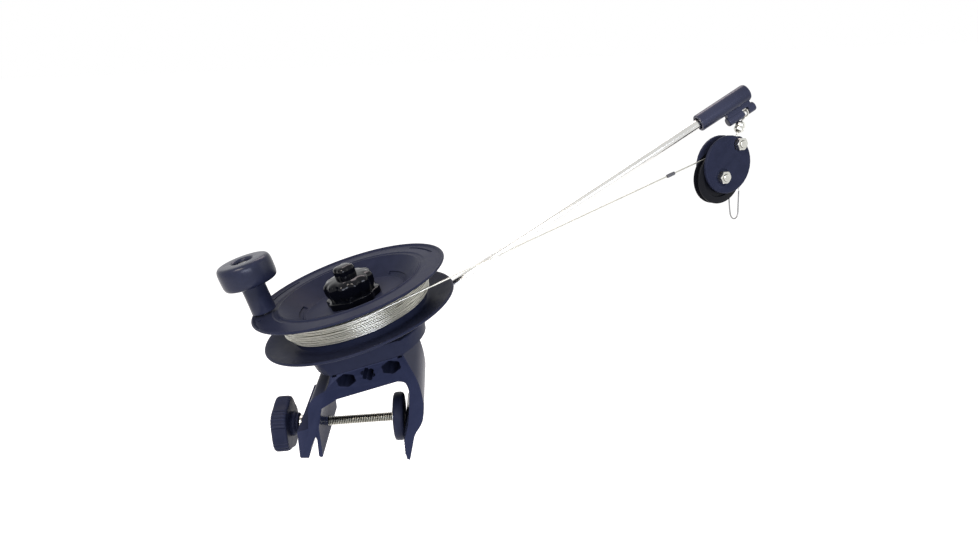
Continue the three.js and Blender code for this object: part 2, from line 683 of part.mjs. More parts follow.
function makeScrew() {
  const start = hubFace - KNOB_BORE_DEPTH + GAP;
  const shoulder = padNeck + GAP;
  const tip = padBack + PAD_SOCKET_DEPTH - GAP;
  return alongScrew(turned([
    [0, start], [SCREW_RADIUS, start], [SCREW_RADIUS, shoulder], [SCREW_TIP_RADIUS, shoulder], [SCREW_TIP_RADIUS, tip],
    [0, tip],
  ]));
}

function makePadClip() {
  const start = padNeck + 2 * GAP;
  return alongScrew(ring(SCREW_TIP_RADIUS + GAP, PAD_CLIP_RADIUS, start, start + PAD_CLIP_THICKNESS, ROUND_STEPS));
}

function makeClampKnob() {
  const back = KNOB_FACE_X - KNOB_THICKNESS;
  const root = KNOB_FACE_X - KNOB_HUB_ROOT;
  const rim = lobedStack(scaled(knobRimShares, KNOB_RADIUS, KNOB_THICKNESS, back), KNOB_LOBES, KNOB_LOBE_STEPS);
  const hub = turned([
    [0, root], [KNOB_HUB_RADIUS, root], ...scaled(knobHubShares, KNOB_HUB_RADIUS, KNOB_HUB_LENGTH, KNOB_FACE_X),
    [0, hubFace],
  ]);
  const bore = cylinder(SCREW_RADIUS + GAP, hubFace - KNOB_BORE_DEPTH, hubFace + OVERRUN, ROUND_STEPS);
  return alongScrew(cut(joined(rim.rotateZ(KNOB_TURN), hub), bore));
}

function makeKnobWasher() {
  const start = hubFace + GAP;
  const end = start + KNOB_WASHER_THICKNESS;
  return alongScrew(turned([
    [SCREW_RADIUS + GAP, start], [KNOB_WASHER_RADIUS, start],
    ...upperEdge(KNOB_WASHER_RADIUS, end, KNOB_WASHER_ROUND), [SCREW_RADIUS + GAP, end],
  ]));
}

// Boom line
const boomPoint = fromReel(BOOM_ALONG, BOOM_ACROSS, BOOM_HEIGHT);
const boomWay = new THREE.Vector3(1, 0, 0)
  .applyAxisAngle(new THREE.Vector3(0, 1, 0), -BOOM_ELEVATION)
  .applyAxisAngle(new THREE.Vector3(0, 0, 1), BOOM_AZIMUTH);
const boomSide = new THREE.Vector3(0, 0, 1).cross(boomWay).normalize();
const boomUp = boomWay.clone().cross(boomSide);
const boomMatrix = new THREE.Matrix4().makeBasis(boomSide, boomUp, boomWay).setPosition(boomPoint);

// Puts a solid made along Z onto the boom's line, its X to the far side and its Y up
function alongBoom(geometry) {
  return geometry.applyMatrix4(boomMatrix);
}

// Lays a solid made along Z across the boom's line, out of its far side, at the set screw's place
function atSetScrew(geometry) {
  return alongBoom(geometry.rotateY(Math.PI / 2).translate(0, 0, SET_SCREW_PLACE));
}

// Base plate
function makeBasePlate() {
  const disc = turned([
    [0, plateBottom], [PLATE_BOTTOM_RADIUS, plateBottom], ...upperEdge(PLATE_TOP_RADIUS, plateTop, PLATE_ROUND),
    [0, plateTop],
  ], SPOOL_STEPS).translate(-PLATE_SHIFT, 0, 0);
  const socket = intoReel(alongBoom(cylinder(SOCKET_RADIUS, SOCKET_START, SOCKET_END, ROUND_STEPS)));
  const hub = cylinder(PLATE_HUB_RADIUS, plateBottom + OVERRUN, hubTop, ROUND_STEPS);
  const reach = 2 * PLATE_TOP_RADIUS;
  const slab = box(-reach, reach, -BRACKET_DEPTH / 2, BRACKET_DEPTH / 2, plateBottom, upperRim);
  const headRoof = plateBottom + GAP + SPINDLE_HEAD_HEIGHT + GAP;
  const headFoot = plateTop - BASE_SCREW_HEAD_HEIGHT - GAP;
  const screwPockets = baseScrewPlaces.flatMap((place) => [
    cylinder(BASE_SCREW_RADIUS + GAP, plateBottom - OVERRUN, plateTop + OVERRUN).translate(...place),
    cylinder(BASE_SCREW_HEAD_RADIUS + GAP, headFoot, hubTop + SOCKET_RADIUS).translate(...place),
  ]);
  return cut(common(joined(disc, socket, hub), slab),
    hexPrism(SPINDLE_HEAD_FLATS + 2 * GAP, plateBottom - OVERRUN, headRoof),
    cylinder(SPINDLE_RADIUS + GAP, plateBottom, hubTop + OVERRUN, ROUND_STEPS),
    intoReel(alongBoom(cylinder(BOOM_RADIUS + GAP, BOOM_START - GAP, SOCKET_END + OVERRUN, ROUND_STEPS))),
    intoReel(atSetScrew(cylinder(SET_SCREW_RADIUS + GAP, 0, SOCKET_RADIUS + OVERRUN))),
    ...screwPockets);
}

// The base nuts sit on the flats in the roofs of the side ports
const baseNutTop = portMiddle + NUT_SEAT_RISE - GAP;
const baseNutFoot = baseNutTop - BASE_NUT_HEIGHT;

function makeBaseScrew() {
  const headFoot = plateTop - BASE_SCREW_HEAD_HEIGHT;
  const end = baseNutFoot - BASE_SCREW_PROUD;
  return turned([
    [0, end], [BASE_SCREW_RADIUS, end], [BASE_SCREW_RADIUS, headFoot], [BASE_SCREW_HEAD_RADIUS, headFoot],
    [BASE_SCREW_HEAD_RADIUS, plateTop], [0, plateTop],
  ], SMALL_STEPS);
}

function makeBaseNut() {
  return cut(hexPrism(BASE_NUT_FLATS, baseNutFoot, baseNutTop),
    cylinder(BASE_SCREW_RADIUS + GAP, baseNutFoot - OVERRUN, baseNutTop + OVERRUN));
}

// Spindle and brake stack
function makeSpindle() {
  const headFoot = plateBottom + GAP;
  const head = hexPrism(SPINDLE_HEAD_FLATS, headFoot, headFoot + SPINDLE_HEAD_HEIGHT);
  return joined(head, cylinder(SPINDLE_RADIUS, headFoot + OVERRUN, spindleTop, ROUND_STEPS));
}

function makeFrictionDisc() {
  return ring(SPINDLE_RADIUS + GAP, FRICTION_DISC_RADIUS, hubTop + GAP, frictionTop, ROUND_STEPS);
}

function makeWasher(bottom, top) {
  return ring(SPINDLE_RADIUS + GAP, WASHER_RADIUS, bottom, top, ROUND_STEPS);
}

function makeDiscSpring() {
  const foot = steelTop + GAP;
  return turned([
    [SPINDLE_RADIUS + GAP, springTop - DISC_SPRING_THICKNESS], [WASHER_RADIUS, foot],
    [WASHER_RADIUS, foot + DISC_SPRING_THICKNESS], [SPINDLE_RADIUS + GAP, springTop],
  ]);
}

// Spool
function onFlange(radius, angle) {
  return [radius * Math.cos(angle), radius * Math.sin(angle), 0];
}

const spoolScrewPlaces = Array.from({ length: SPOOL_SCREW_COUNT }, (_, i) => (
  onFlange(SPOOL_SCREW_CIRCLE, 2 * Math.PI * i / SPOOL_SCREW_COUNT)));

function spoolScrewHoles(radius, bottom, top) {
  return spoolScrewPlaces.map((place) => cylinder(radius + GAP, bottom, top).translate(...place));
}

// Radii across the upper flange, from its floor out to its rim
const floorRadius = DRUM_RADIUS - FLOOR_INSET;
const [dishEdge, channelInner, channelOuter, landInner] = crossFlangeShares.map((share) => (
  THREE.MathUtils.lerp(DRUM_RADIUS, FLANGE_RADIUS, share)));
const landOuter = FLANGE_RADIUS - RIM_WIDTH;

function onLand(share) {
  return THREE.MathUtils.lerp(landInner, landOuter, share);
}

function makeLowerSpool() {
  const inner = DRUM_RADIUS - DRUM_WALL;
  const drumTop = stepUnderside - GAP;
  const hubEnd = floorUnderside - GAP;
  const headRoof = spoolBottom + GAP + SPOOL_SCREW_HEAD_HEIGHT + GAP;
  const body = turned([
    [SPOOL_BORE_RADIUS, spoolBottom],
    [SPOOL_SEAT_RADIUS, spoolBottom],
    ...scaled(dishUnderShares, FLANGE_RADIUS, LOWER_RIM_RISE, spoolBottom),
    ...scaled(rimShares, FLANGE_RADIUS, RIM_THICKNESS, lowerRim),
    ...scaled(dishTopShares, FLANGE_RADIUS, LOWER_RIM_RISE, spoolBottom),
    [DRUM_RADIUS + DRUM_FOOT_WIDTH, spoolBottom + drumFootShare * LOWER_RIM_RISE],
    [DRUM_RADIUS, spoolBottom + LOWER_RIM_RISE],
    [DRUM_RADIUS, drumTop],
    [inner, drumTop],
    [inner, spoolBottom + DRUM_FLOOR_EDGE],
    [SPOOL_HUB_RADIUS, spoolBottom + DRUM_FLOOR_RISE],
    [SPOOL_HUB_RADIUS, hubEnd],
    [SPOOL_BORE_RADIUS, hubEnd],
  ], SPOOL_STEPS);
  return cut(body,
    ...spoolScrewHoles(SPOOL_SCREW_RADIUS, spoolBottom, hubEnd + OVERRUN),
    ...spoolScrewHoles(SPOOL_SCREW_HEAD_RADIUS, spoolBottom - OVERRUN, headRoof));
}

function makeSpoolScrew() {
  const foot = spoolBottom + GAP;
  const shoulder = foot + SPOOL_SCREW_HEAD_HEIGHT;
  const end = floorUnderside + SPOOL_SCREW_BITE - GAP;
  return turned([
    [0, foot], [SPOOL_SCREW_HEAD_RADIUS, foot], [SPOOL_SCREW_HEAD_RADIUS, shoulder], [SPOOL_SCREW_RADIUS, shoulder],
    [SPOOL_SCREW_RADIUS, end], [0, end],
  ], SMALL_STEPS);
}

function arcGroove([start, end]) {
  const half = ARC_GROOVE_WIDTH / 2;
  const shape = new THREE.Shape();
  const middle = onLand(arcGrooveShare);
  shape.absarc(0, 0, middle + half, start, end, false);
  shape.absarc(0, 0, middle - half, end, start, true);
  const depth = ARC_GROOVE_DEPTH + OVERRUN;
  return new THREE.ExtrudeGeometry(shape, { depth, bevelEnabled: false, curveSegments: ARC_GROOVE_STEPS })
    .translate(0, 0, landTop - ARC_GROOVE_DEPTH);
}

const crankPlace = onFlange(FLANGE_RADIUS - CRANK_INSET, CRANK_ANGLE);
const pinFoot = landUnderside - GAP;

function makeUpperSpool() {
  const stepRadius = DRUM_RADIUS - DRUM_WALL - GAP;
  const wallFoot = floorRadius + FLANGE_THICKNESS;
  const wallSlope = (landTop - floorTop) / (dishEdge - floorRadius);
  const flange = turned([
    [SPOOL_BORE_RADIUS, floorUnderside],
    [wallFoot, floorUnderside],
    [stepRadius, floorUnderside + wallSlope * (stepRadius - wallFoot)],
    [stepRadius, stepUnderside],
    [DRUM_RADIUS, stepUnderside],
    [DRUM_RADIUS, landUnderside - FLANGE_THICKNESS],
    [DRUM_RADIUS + FLANGE_THICKNESS, landUnderside],
    ...scaled(rimShares, FLANGE_RADIUS, RIM_THICKNESS, upperRim),
    [landOuter, landTop],
    [landInner, landTop],
    [channelOuter, landTop - CHANNEL_DEPTH],
    [channelInner, landTop - CHANNEL_DEPTH],
    [dishEdge, landTop],
    [floorRadius + FLOOR_FILLET_WIDTH, floorTop + FLOOR_FILLET_RISE],
    [floorRadius - FLOOR_FILLET_WIDTH, floorTop],
    [SPOOL_BORE_RADIUS, floorTop],
  ], SPOOL_STEPS);
  const boss = common(
    cylinder(CRANK_BOSS_RADIUS, landUnderside, landTop + CRANK_BOSS_RISE, ROUND_STEPS).translate(...crankPlace),
    cylinder(landOuter + OVERRUN, landUnderside, upperRimTop, SPOOL_STEPS),
  );
  return cut(joined(flange, boss),
    cylinder(CRANK_PIN_RADIUS + GAP, floorTop, upperRimTop).translate(...crankPlace),
    cylinder(CRANK_PIN_HEAD_RADIUS + GAP, pinFoot - CRANK_PIN_FOOT_HEIGHT - GAP, pinFoot).translate(...crankPlace),
    cylinder(DIMPLE_RADIUS, landTop - ARC_GROOVE_DEPTH, upperRimTop)
      .translate(...onFlange(onLand(dimpleShare), DIMPLE_ANGLE)),
    ...arcGrooveSpans.map(arcGroove),
    ...spoolScrewHoles(SPOOL_SCREW_RADIUS, floorUnderside - OVERRUN, floorUnderside + SPOOL_SCREW_BITE));
}

function makeSpoolBush() {
  return ring(SPINDLE_RADIUS + GAP, BUSH_OUTER_RADIUS, spoolBottom, floorTop - GAP, ROUND_STEPS);
}

// Winding
const windingRadius = DRUM_RADIUS + WINDING_DEPTH;
const windingFoot = spoolBottom + WINDING_FOOT_RISE;
const windingTop = landUnderside - WINDING_TOP_DROP;

// How far the wound wire draws in at a share of its height
function drawIn(share) {
  const next = Math.max(1, windingShares.findIndex(([place]) => place >= share));
  const [p0, b0] = windingShares[next - 1];
  const [p1, b1] = windingShares[next];
  return WINDING_BULGE * (b0 + (b1 - b0) * (share - p0) / (p1 - p0));
}

function windingPath() {
  const count = WINDING_LOOPS * LOOP_STEPS;
  return Array.from({ length: count + 1 }, (_, i) => {
    const share = i / count;
    const angle = 2 * Math.PI * i / LOOP_STEPS;
    const radius = windingRadius - WIRE_RADIUS - drawIn(share);
    const height = THREE.MathUtils.lerp(windingFoot, windingTop, share);
    return new THREE.Vector3(radius * Math.cos(angle), radius * Math.sin(angle), height);
  });
}

// The wire's end turns in to the turns beneath, straight for one diameter
function inward(point) {
  const radius = Math.hypot(point.x, point.y);
  const share = (radius - 2 * WIRE_RADIUS) / radius;
  return new THREE.Vector3(point.x * share, point.y * share, point.z);
}

// Measured between points at least half a loop apart along the wire
function leastGap(path) {
  let least = Infinity;
  for (let i = 0; i < path.length; i += 1) {
    for (let k = i + LOOP_STEPS / 2; k < path.length; k += 1) {
      least = Math.min(least, path[i].distanceTo(path[k]));
    }
  }
  return least - 2 * WIRE_RADIUS;
}

function makeWinding() {
  const loops = windingPath();
  const path = [inward(loops[0]), ...loops, inward(loops.at(-1))];
  console.log(`winding: least gap to itself ${leastGap(path).toFixed(2)} mm`);
  return tube(path, WIRE_RADIUS, WINDING_SIDES);
}

// The turns beneath, under the outer layer
function makeWireCore() {
  const chordDip = (windingRadius - WIRE_RADIUS) * (1 - Math.cos(Math.PI / LOOP_STEPS));
  const outside = windingRadius - 2 * WIRE_RADIUS - chordDip - 2 * GAP;
  const foot = windingFoot - WIRE_RADIUS;
  const top = windingTop + WIRE_RADIUS;
  const inner = (DRUM_RADIUS + GAP) / Math.cos(Math.PI / LOOP_STEPS);
  return turned([
    [inner, foot],
    ...windingShares.map(([place]) => [outside - drawIn(place), THREE.MathUtils.lerp(foot, top, place)]),
    [DRUM_RADIUS + CORE_TOP_DEPTH, top],
    [inner, landUnderside - FLANGE_THICKNESS - 2 * GAP],
  ], LOOP_STEPS);
}

// Crank
function makeCrankKnob() {
  const headFoot = stemFoot + STEM_LENGTH;
  const headTop = headFoot + HEAD_HEIGHT;
  const bore = CRANK_PIN_RADIUS + GAP;
  return turned([
    [bore, stemFoot],
    ...scaled(stemShares, HEAD_RADIUS, STEM_LENGTH, stemFoot),
    ...scaled(headShares, HEAD_RADIUS, HEAD_HEIGHT, headFoot),
    [HEAD_RECESS_RADIUS, headTop - HEAD_RECESS_ROUND],
    [HEAD_RECESS_RADIUS, headTop - HEAD_RECESS_DEPTH],
    [bore, headTop - HEAD_RECESS_DEPTH],
  ], KNOB_STEPS);
}

function makeCrankPin() {
  const shoulder = stemFoot + STEM_LENGTH + HEAD_HEIGHT - HEAD_RECESS_DEPTH + GAP;
  const top = shoulder + CRANK_PIN_HEAD_HEIGHT;
  return turned([
    [0, pinFoot - CRANK_PIN_FOOT_HEIGHT], [CRANK_PIN_HEAD_RADIUS, pinFoot - CRANK_PIN_FOOT_HEIGHT],
    [CRANK_PIN_HEAD_RADIUS, pinFoot], [CRANK_PIN_RADIUS, pinFoot], [CRANK_PIN_RADIUS, shoulder],
    [CRANK_PIN_HEAD_RADIUS, shoulder], ...upperEdge(CRANK_PIN_HEAD_RADIUS, top, CRANK_PIN_HEAD_ROUND), [0, top],
  ], SMALL_STEPS);
}

// Brake knob: lobed skirt, ribbed body and small crown
function brakeTier(shares, lobes, stepsPerLobe) {
  return lobedStack(scaled(shares, BRAKE_RADIUS, BRAKE_HEIGHT, knobFoot), lobes, stepsPerLobe);
}

function makeBrakeKnob() {
  const tiers = joined(
    brakeTier(skirtShares, SKIRT_LOBES, SKIRT_LOBE_STEPS),
    brakeTier(bodyShares, BODY_LOBES, BODY_LOBE_STEPS),
    brakeTier(crownShares, CROWN_LOBES, CROWN_LOBE_STEPS),
  );
  return cut(tiers,
    cylinder(BRAKE_RECESS_RADIUS, knobFoot - OVERRUN, springTop + GAP, ROUND_STEPS),
    cylinder(INSERT_RADIUS + GAP, knobFoot, insertTop + GAP, ROUND_STEPS),
    cylinder(SPINDLE_RADIUS + GAP, knobFoot, spindleTop + GAP, ROUND_STEPS));
}

function makeKnobInsert() {
  return ring(SPINDLE_RADIUS + GAP, INSERT_RADIUS, insertFoot, insertTop, ROUND_STEPS);
}

// Boom with its end fitting
function makeBoomRod() {
  return alongBoom(cylinder(BOOM_RADIUS, BOOM_START, END_START + END_BORE_DEPTH - GAP, ROUND_STEPS));
}

function makeSetScrew() {
  const foot = BOOM_RADIUS + GAP;
  return atSetScrew(cylinder(SET_SCREW_RADIUS, foot, foot + SET_SCREW_LENGTH));
}

function makeBoomEnd() {
  const far = END_START + END_LENGTH;
  const boreEnd = END_START + END_BORE_DEPTH;
  const bore = BOOM_RADIUS + GAP;
  const mouthFloor = END_START + MOUTH_DEPTH;
  const sleeve = turned([
    [MOUTH_RADIUS, END_START], ...lowerEdge(END_RADIUS, END_START, MOUTH_ROUND), ...upperEdge(END_RADIUS, far, END_ROUND),
    [0, far], [0, boreEnd], [bore, boreEnd], [bore, mouthFloor], [MOUTH_RADIUS, mouthFloor],
  ]);
  const lug = turned([
    [0, LUG_START], ...lowerEdge(LUG_RADIUS, LUG_START, LUG_ROUND), ...upperEdge(LUG_RADIUS, LUG_END, LUG_ROUND),
    [0, LUG_END],
  ], EAR_STEPS).translate(0, -LUG_DROP, 0);
  const half = LUG_WEB_WIDTH / 2;
  const web = box(-half, half, -LUG_DROP, -(bore + END_RADIUS) / 2, LUG_START + LUG_ROUND, far - END_ROUND);
  const slotRoof = -LUG_DROP + UPPER_EYE_RADIUS - UPPER_EYE_DROP + EYE_WIRE_RADIUS + GAP;
  const slot = box(-END_RADIUS, END_RADIUS, -LUG_DROP - 2 * LUG_RADIUS, slotRoof, SLOT_MIDDLE - SLOT_WIDTH / 2,
    SLOT_MIDDLE + SLOT_WIDTH / 2);
  const pinHole = cylinder(PIN_RADIUS + GAP, LUG_START + PIN_INSET, LUG_END + OVERRUN).translate(0, -LUG_DROP, 0);
  return alongBoom(cut(joined(sleeve, lug, web), slot, pinHole));
}

function makeHangerPin() {
  return alongBoom(cylinder(PIN_RADIUS, LUG_START + PIN_INSET + GAP, LUG_END - PIN_INSET).translate(0, -LUG_DROP, 0));
}

// The wire's plane holds the place where the wire leaves the winding, the hanging point and a leaning upright
const hangPoint = new THREE.Vector3(0, -LUG_DROP, HANG_POINT).applyMatrix4(boomMatrix);
const windReach = windingRadius + GAP + WIRE_RADIUS;
const wireExitHeight = landUnderside - WIRE_EXIT_DROP;

function onWinding(heading) {
  return fromReel(windReach * Math.sin(heading), -windReach * Math.cos(heading), wireExitHeight);
}

// Heading of the straight wire that leaves the winding on its open side and runs to a place
function headingTo(place) {
  const target = toReel(place);
  return Math.atan2(target.y, target.x) + Math.asin(windReach / Math.hypot(target.x, target.y));
}

// A way down in the plane, leaning towards the reel
function leaning({ out, up }, angle) {
  return up.clone().multiplyScalar(-Math.cos(angle)).addScaledVector(out, -Math.sin(angle));
}

// The block's place and its plane lean on each other, so they settle in a few passes
function settle() {
  const upright = new THREE.Vector3(0, Math.sin(PLANE_LEAN), Math.cos(PLANE_LEAN));
  const found = { axle: hangPoint };
  for (let pass = 0; pass < 4; pass += 1) {
    found.heading = headingTo(found.axle);
    found.exit = onWinding(found.heading);
    found.face = upright.clone().cross(found.exit.clone().sub(hangPoint)).normalize();
    found.out = new THREE.Vector3(0, 0, 1).cross(found.face).normalize();
    found.up = found.face.clone().cross(found.out);
    found.hang = leaning(found, HANGER_LEAN);
    found.drop = leaning(found, BLOCK_LEAN);
    found.ear = hangPoint.clone().addScaledVector(found.hang, HANGER_LENGTH);
    found.axle = found.ear.clone().addScaledVector(found.drop, EAR_TO_AXLE);
  }
  return found;
}

const plane = settle();
const blockUp = plane.drop.clone().negate();
const blockMatrix = new THREE.Matrix4().makeBasis(blockUp.clone().cross(plane.face), blockUp, plane.face)
  .setPosition(plane.axle);
const plumbMatrix = new THREE.Matrix4().makeBasis(plane.out, plane.up, plane.face).setPosition(plane.axle);

function onBlock(geometry) {
  return geometry.applyMatrix4(blockMatrix);
}

// A frame at a point, its Z up the hanger and its Y across the block
function hangerFrame(point) {
  const up = plane.hang.clone().negate();
  return new THREE.Matrix4().makeBasis(plane.face.clone().cross(up), plane.face, up).setPosition(point);
}

// A ring of wire round the Y axis
function eyeRing(radius) {
  return new THREE.TorusGeometry(radius, EYE_WIRE_RADIUS, EYE_SIDES, EYE_STEPS).rotateX(Math.PI / 2);
}

function eyeStem(...points) {
  return tube(points, EYE_WIRE_RADIUS, EYE_SIDES, plane.face);
}

const barrelTop = hangPoint.clone().addScaledVector(plane.hang, BARREL_START);
const barrelFoot = barrelTop.clone().addScaledVector(plane.hang, BARREL_LENGTH);

// The upper eye stands nearly square to its pin, and its stem bends over to the barrel
function makeUpperEye() {
  const turnAxis = boomWay.clone().cross(plane.hang).normalize();
  const ringAxis = boomWay.clone().applyAxisAngle(turnAxis, UPPER_EYE_TURN);
  const middle = hangPoint.clone().addScaledVector(boomUp, -UPPER_EYE_DROP);
  const upright = boomUp.clone().addScaledVector(ringAxis, -boomUp.dot(ringAxis)).normalize();
  const basis = new THREE.Matrix4().makeBasis(ringAxis.clone().cross(upright), ringAxis, upright).setPosition(middle);
  const bottom = middle.clone().addScaledVector(upright, -UPPER_EYE_RADIUS);
  const entry = barrelTop.clone().addScaledVector(plane.hang, -EYE_WIRE_RADIUS);
  const inside = barrelTop.clone().addScaledVector(plane.hang, EYE_STEM_DEPTH);
  return joined(eyeRing(UPPER_EYE_RADIUS).applyMatrix4(basis), eyeStem(bottom, entry, inside));
}

function makeLowerEye() {
  const inside = barrelFoot.clone().addScaledVector(plane.hang, -EYE_STEM_DEPTH);
  const top = plane.ear.clone().addScaledVector(plane.hang, -LOWER_EYE_RADIUS);
  return joined(eyeRing(LOWER_EYE_RADIUS).applyMatrix4(hangerFrame(plane.ear)), eyeStem(top, inside));
}

function makeBarrel() {
  const bore = EYE_WIRE_RADIUS + GAP;
  const room = EYE_STEM_DEPTH + GAP;
  const body = turned([[0, 0], ...scaled(barrelShares, BARREL_RADIUS, BARREL_LENGTH), [0, BARREL_LENGTH]], BARREL_STEPS);
  return cut(body, cylinder(bore, -OVERRUN, room), cylinder(bore, BARREL_LENGTH - room, BARREL_LENGTH + OVERRUN))
    .applyMatrix4(hangerFrame(barrelFoot));
}

// Block: made about the axle with the ear up and the open face towards +Z
const innerHalf = BLOCK_INNER_WIDTH / 2;
const outerHalf = innerHalf + CHEEK_THICKNESS;
const recessFloor = outerHalf - RECESS_DEPTH;

function cheekDisc(radius, rise, steps) {
  return turned([
    [0, innerHalf], [radius, innerHalf], [radius, outerHalf - CHEEK_BEVEL], [radius - CHEEK_BEVEL, outerHalf],
    [0, outerHalf],
  ], steps).translate(0, rise, 0);
}

function makeCheek(turn) {
  return onBlock(cut(
    joined(cheekDisc(CHEEK_RADIUS, CHEEK_RISE, CHEEK_STEPS), cheekDisc(EAR_RADIUS, EAR_TO_AXLE, EAR_STEPS)),
    cylinder(BOLT_RADIUS + GAP, 0, outerHalf + OVERRUN),
    cylinder(BOLT_RADIUS + GAP, 0, outerHalf + OVERRUN).translate(0, EAR_TO_AXLE, 0),
    cylinder(NUT_RECESS_RADIUS, recessFloor, outerHalf + OVERRUN, EAR_STEPS),
    cylinder(EAR_RECESS_RADIUS, recessFloor, outerHalf + OVERRUN, EAR_STEPS).translate(0, EAR_TO_AXLE, 0),
  ).rotateY(turn));
}

function makeBlockBolt(rise) {
  const headFace = -recessFloor - GAP;
  const end = recessFloor + GAP + NUT_HEIGHT + BOLT_PROUD;
  const head = hexPrism(BOLT_FLATS, headFace - BOLT_HEAD_HEIGHT, headFace);
  const shank = turned([
    [0, headFace - OVERRUN], [BOLT_RADIUS, headFace - OVERRUN], ...upperEdge(BOLT_RADIUS, end, BOLT_END_ROUND), [0, end],
  ], SMALL_STEPS);
  return onBlock(joined(head, shank).translate(0, rise, 0));
}

function makeBlockNut(rise) {
  const foot = recessFloor + GAP;
  const top = foot + NUT_HEIGHT;
  const corner = BOLT_FLATS / Math.sqrt(3);
  const dome = turned([
    [0, foot], [corner - NUT_CHAMFER, foot], [corner, foot + NUT_CHAMFER], [corner, top - NUT_CHAMFER],
    [corner - NUT_CHAMFER, top], [0, top],
  ]);
  const bore = cylinder(BOLT_RADIUS + GAP, foot - OVERRUN, top + OVERRUN);
  const nut = cut(common(hexPrism(BOLT_FLATS, foot, top), dome), bore);
  return onBlock(nut.rotateZ(Math.PI / 6).translate(0, rise, 0));
}

function makeEarSpacer(side) {
  const spacer = ring(BOLT_RADIUS + GAP, EAR_SPACER_RADIUS, EYE_WIRE_RADIUS + GAP, innerHalf - GAP);
  return onBlock(spacer.scale(1, 1, side).translate(0, EAR_TO_AXLE, 0));
}

// Sheave
function makeSheave() {
  const half = SHEAVE_WIDTH / 2;
  const bore = SHEAVE_BUSH_RADIUS + GAP;
  const mouth = GROOVE_MOUTH_WIDTH / 2;
  const floor = GROOVE_FLOOR_WIDTH / 2;
  const floorRadius = WRAP_RADIUS - WIRE_RADIUS - GAP;
  const web = SHEAVE_WEB_WIDTH / 2;
  return onBlock(turned([
    [bore, -half], [SHEAVE_HUB_RADIUS, -half], [SHEAVE_HUB_RADIUS, -web], [SHEAVE_WEB_RADIUS, -web],
    [SHEAVE_WEB_RADIUS, -half], [SHEAVE_RADIUS, -half], [SHEAVE_RADIUS, -mouth], [floorRadius, -floor],
    [floorRadius, floor], [SHEAVE_RADIUS, mouth], [SHEAVE_RADIUS, half], [SHEAVE_WEB_RADIUS, half],
    [SHEAVE_WEB_RADIUS, web], [SHEAVE_HUB_RADIUS, web], [SHEAVE_HUB_RADIUS, half], [bore, half],
  ], SHEAVE_STEPS));
}

function makeSheaveBush() {
  const half = SHEAVE_WIDTH / 2;
  return onBlock(ring(BOLT_RADIUS + GAP, SHEAVE_BUSH_RADIUS, -half, half, ROUND_STEPS));
}

// Wire from the winding to the groove
const toPlumb = plumbMatrix.clone().invert();
const exitInPlane = plane.exit.clone().applyMatrix4(toPlumb);
const meetAngle = Math.atan2(exitInPlane.y, exitInPlane.x)
  - Math.acos(WRAP_RADIUS / Math.hypot(exitInPlane.x, exitInPlane.y)) + 2 * Math.PI;

function onGroove(angle) {
  return new THREE.Vector3(WRAP_RADIUS * Math.cos(angle), WRAP_RADIUS * Math.sin(angle), 0);
}

const meetPoint = onGroove(meetAngle).applyMatrix4(plumbMatrix);
const wireWay = meetPoint.clone().sub(plane.exit).normalize();
const leadEnd = TAIL_LENGTH + GAP;
const beadEnd = leadEnd + LEAD_LENGTH + GAP;
const runEnd = beadEnd + STOP_BEAD_LENGTH + GAP;

function beforeGroove(distance) {
  return meetPoint.clone().addScaledVector(wireWay, -distance);
}

function makeWireRun() {
  const lap = Array.from({ length: WIRE_LAP_STEPS }, (_, i) => (
    onWinding(plane.heading - WIRE_LAP * (1 - i / WIRE_LAP_STEPS))));
  return tube([...lap, plane.exit, beforeGroove(runEnd)], WIRE_RADIUS, WIRE_SIDES);
}

function makeStopBead() {
  return tube([beforeGroove(beadEnd + STOP_BEAD_LENGTH), beforeGroove(beadEnd)], STOP_BEAD_RADIUS, WIRE_SIDES);
}

function makeWireLead() {
  return tube([beforeGroove(leadEnd + LEAD_LENGTH), beforeGroove(leadEnd)], WIRE_RADIUS, WIRE_SIDES);
}

// Over the sheave and out to the loop's long leg
function makeWireEnd() {
  const arc = Array.from({ length: WIRE_ARC_STEPS + 1 }, (_, i) => onGroove(meetAngle * (1 - i / WIRE_ARC_STEPS)));
  const legX = WRAP_RADIUS + LOOP_OFFSET;
  const bend = new THREE.CubicBezierCurve3(
    arc.at(-1),
    new THREE.Vector3(WRAP_RADIUS, -LOOP_BEND_DROP / 2, 0),
    new THREE.Vector3(legX, -LOOP_BEND_DROP / 2, 0),
    new THREE.Vector3(legX, -LOOP_BEND_DROP, 0),
  );
  const start = beforeGroove(TAIL_LENGTH).applyMatrix4(toPlumb);
  const end = new THREE.Vector3(legX, GAP - LOOP_TOP, 0);
  const points = [start, ...arc, ...bend.getPoints(WIRE_BEND_STEPS).slice(1), end];
  return tube(points, WIRE_RADIUS, WIRE_SIDES).applyMatrix4(plumbMatrix);
}

function loopPoints(shares) {
  return shares.map(([x, y]) => new THREE.Vector3(x * WRAP_RADIUS, -y * WRAP_RADIUS, 0));
}

function makeEndLoop() {
  const top = new THREE.Vector3(WRAP_RADIUS + LOOP_OFFSET, -LOOP_TOP, 0);
  const path = new THREE.CurvePath();
  path.add(new THREE.CubicBezierCurve3(top, ...loopPoints(longLegShares)));
  path.add(new THREE.CubicBezierCurve3(...loopPoints(footShares)));
  path.add(new THREE.CubicBezierCurve3(...loopPoints(shortLegShares)));
  return tube(path.getSpacedPoints(LOOP_TUBE_STEPS), WIRE_RADIUS, WIRE_SIDES).applyMatrix4(plumbMatrix);
}

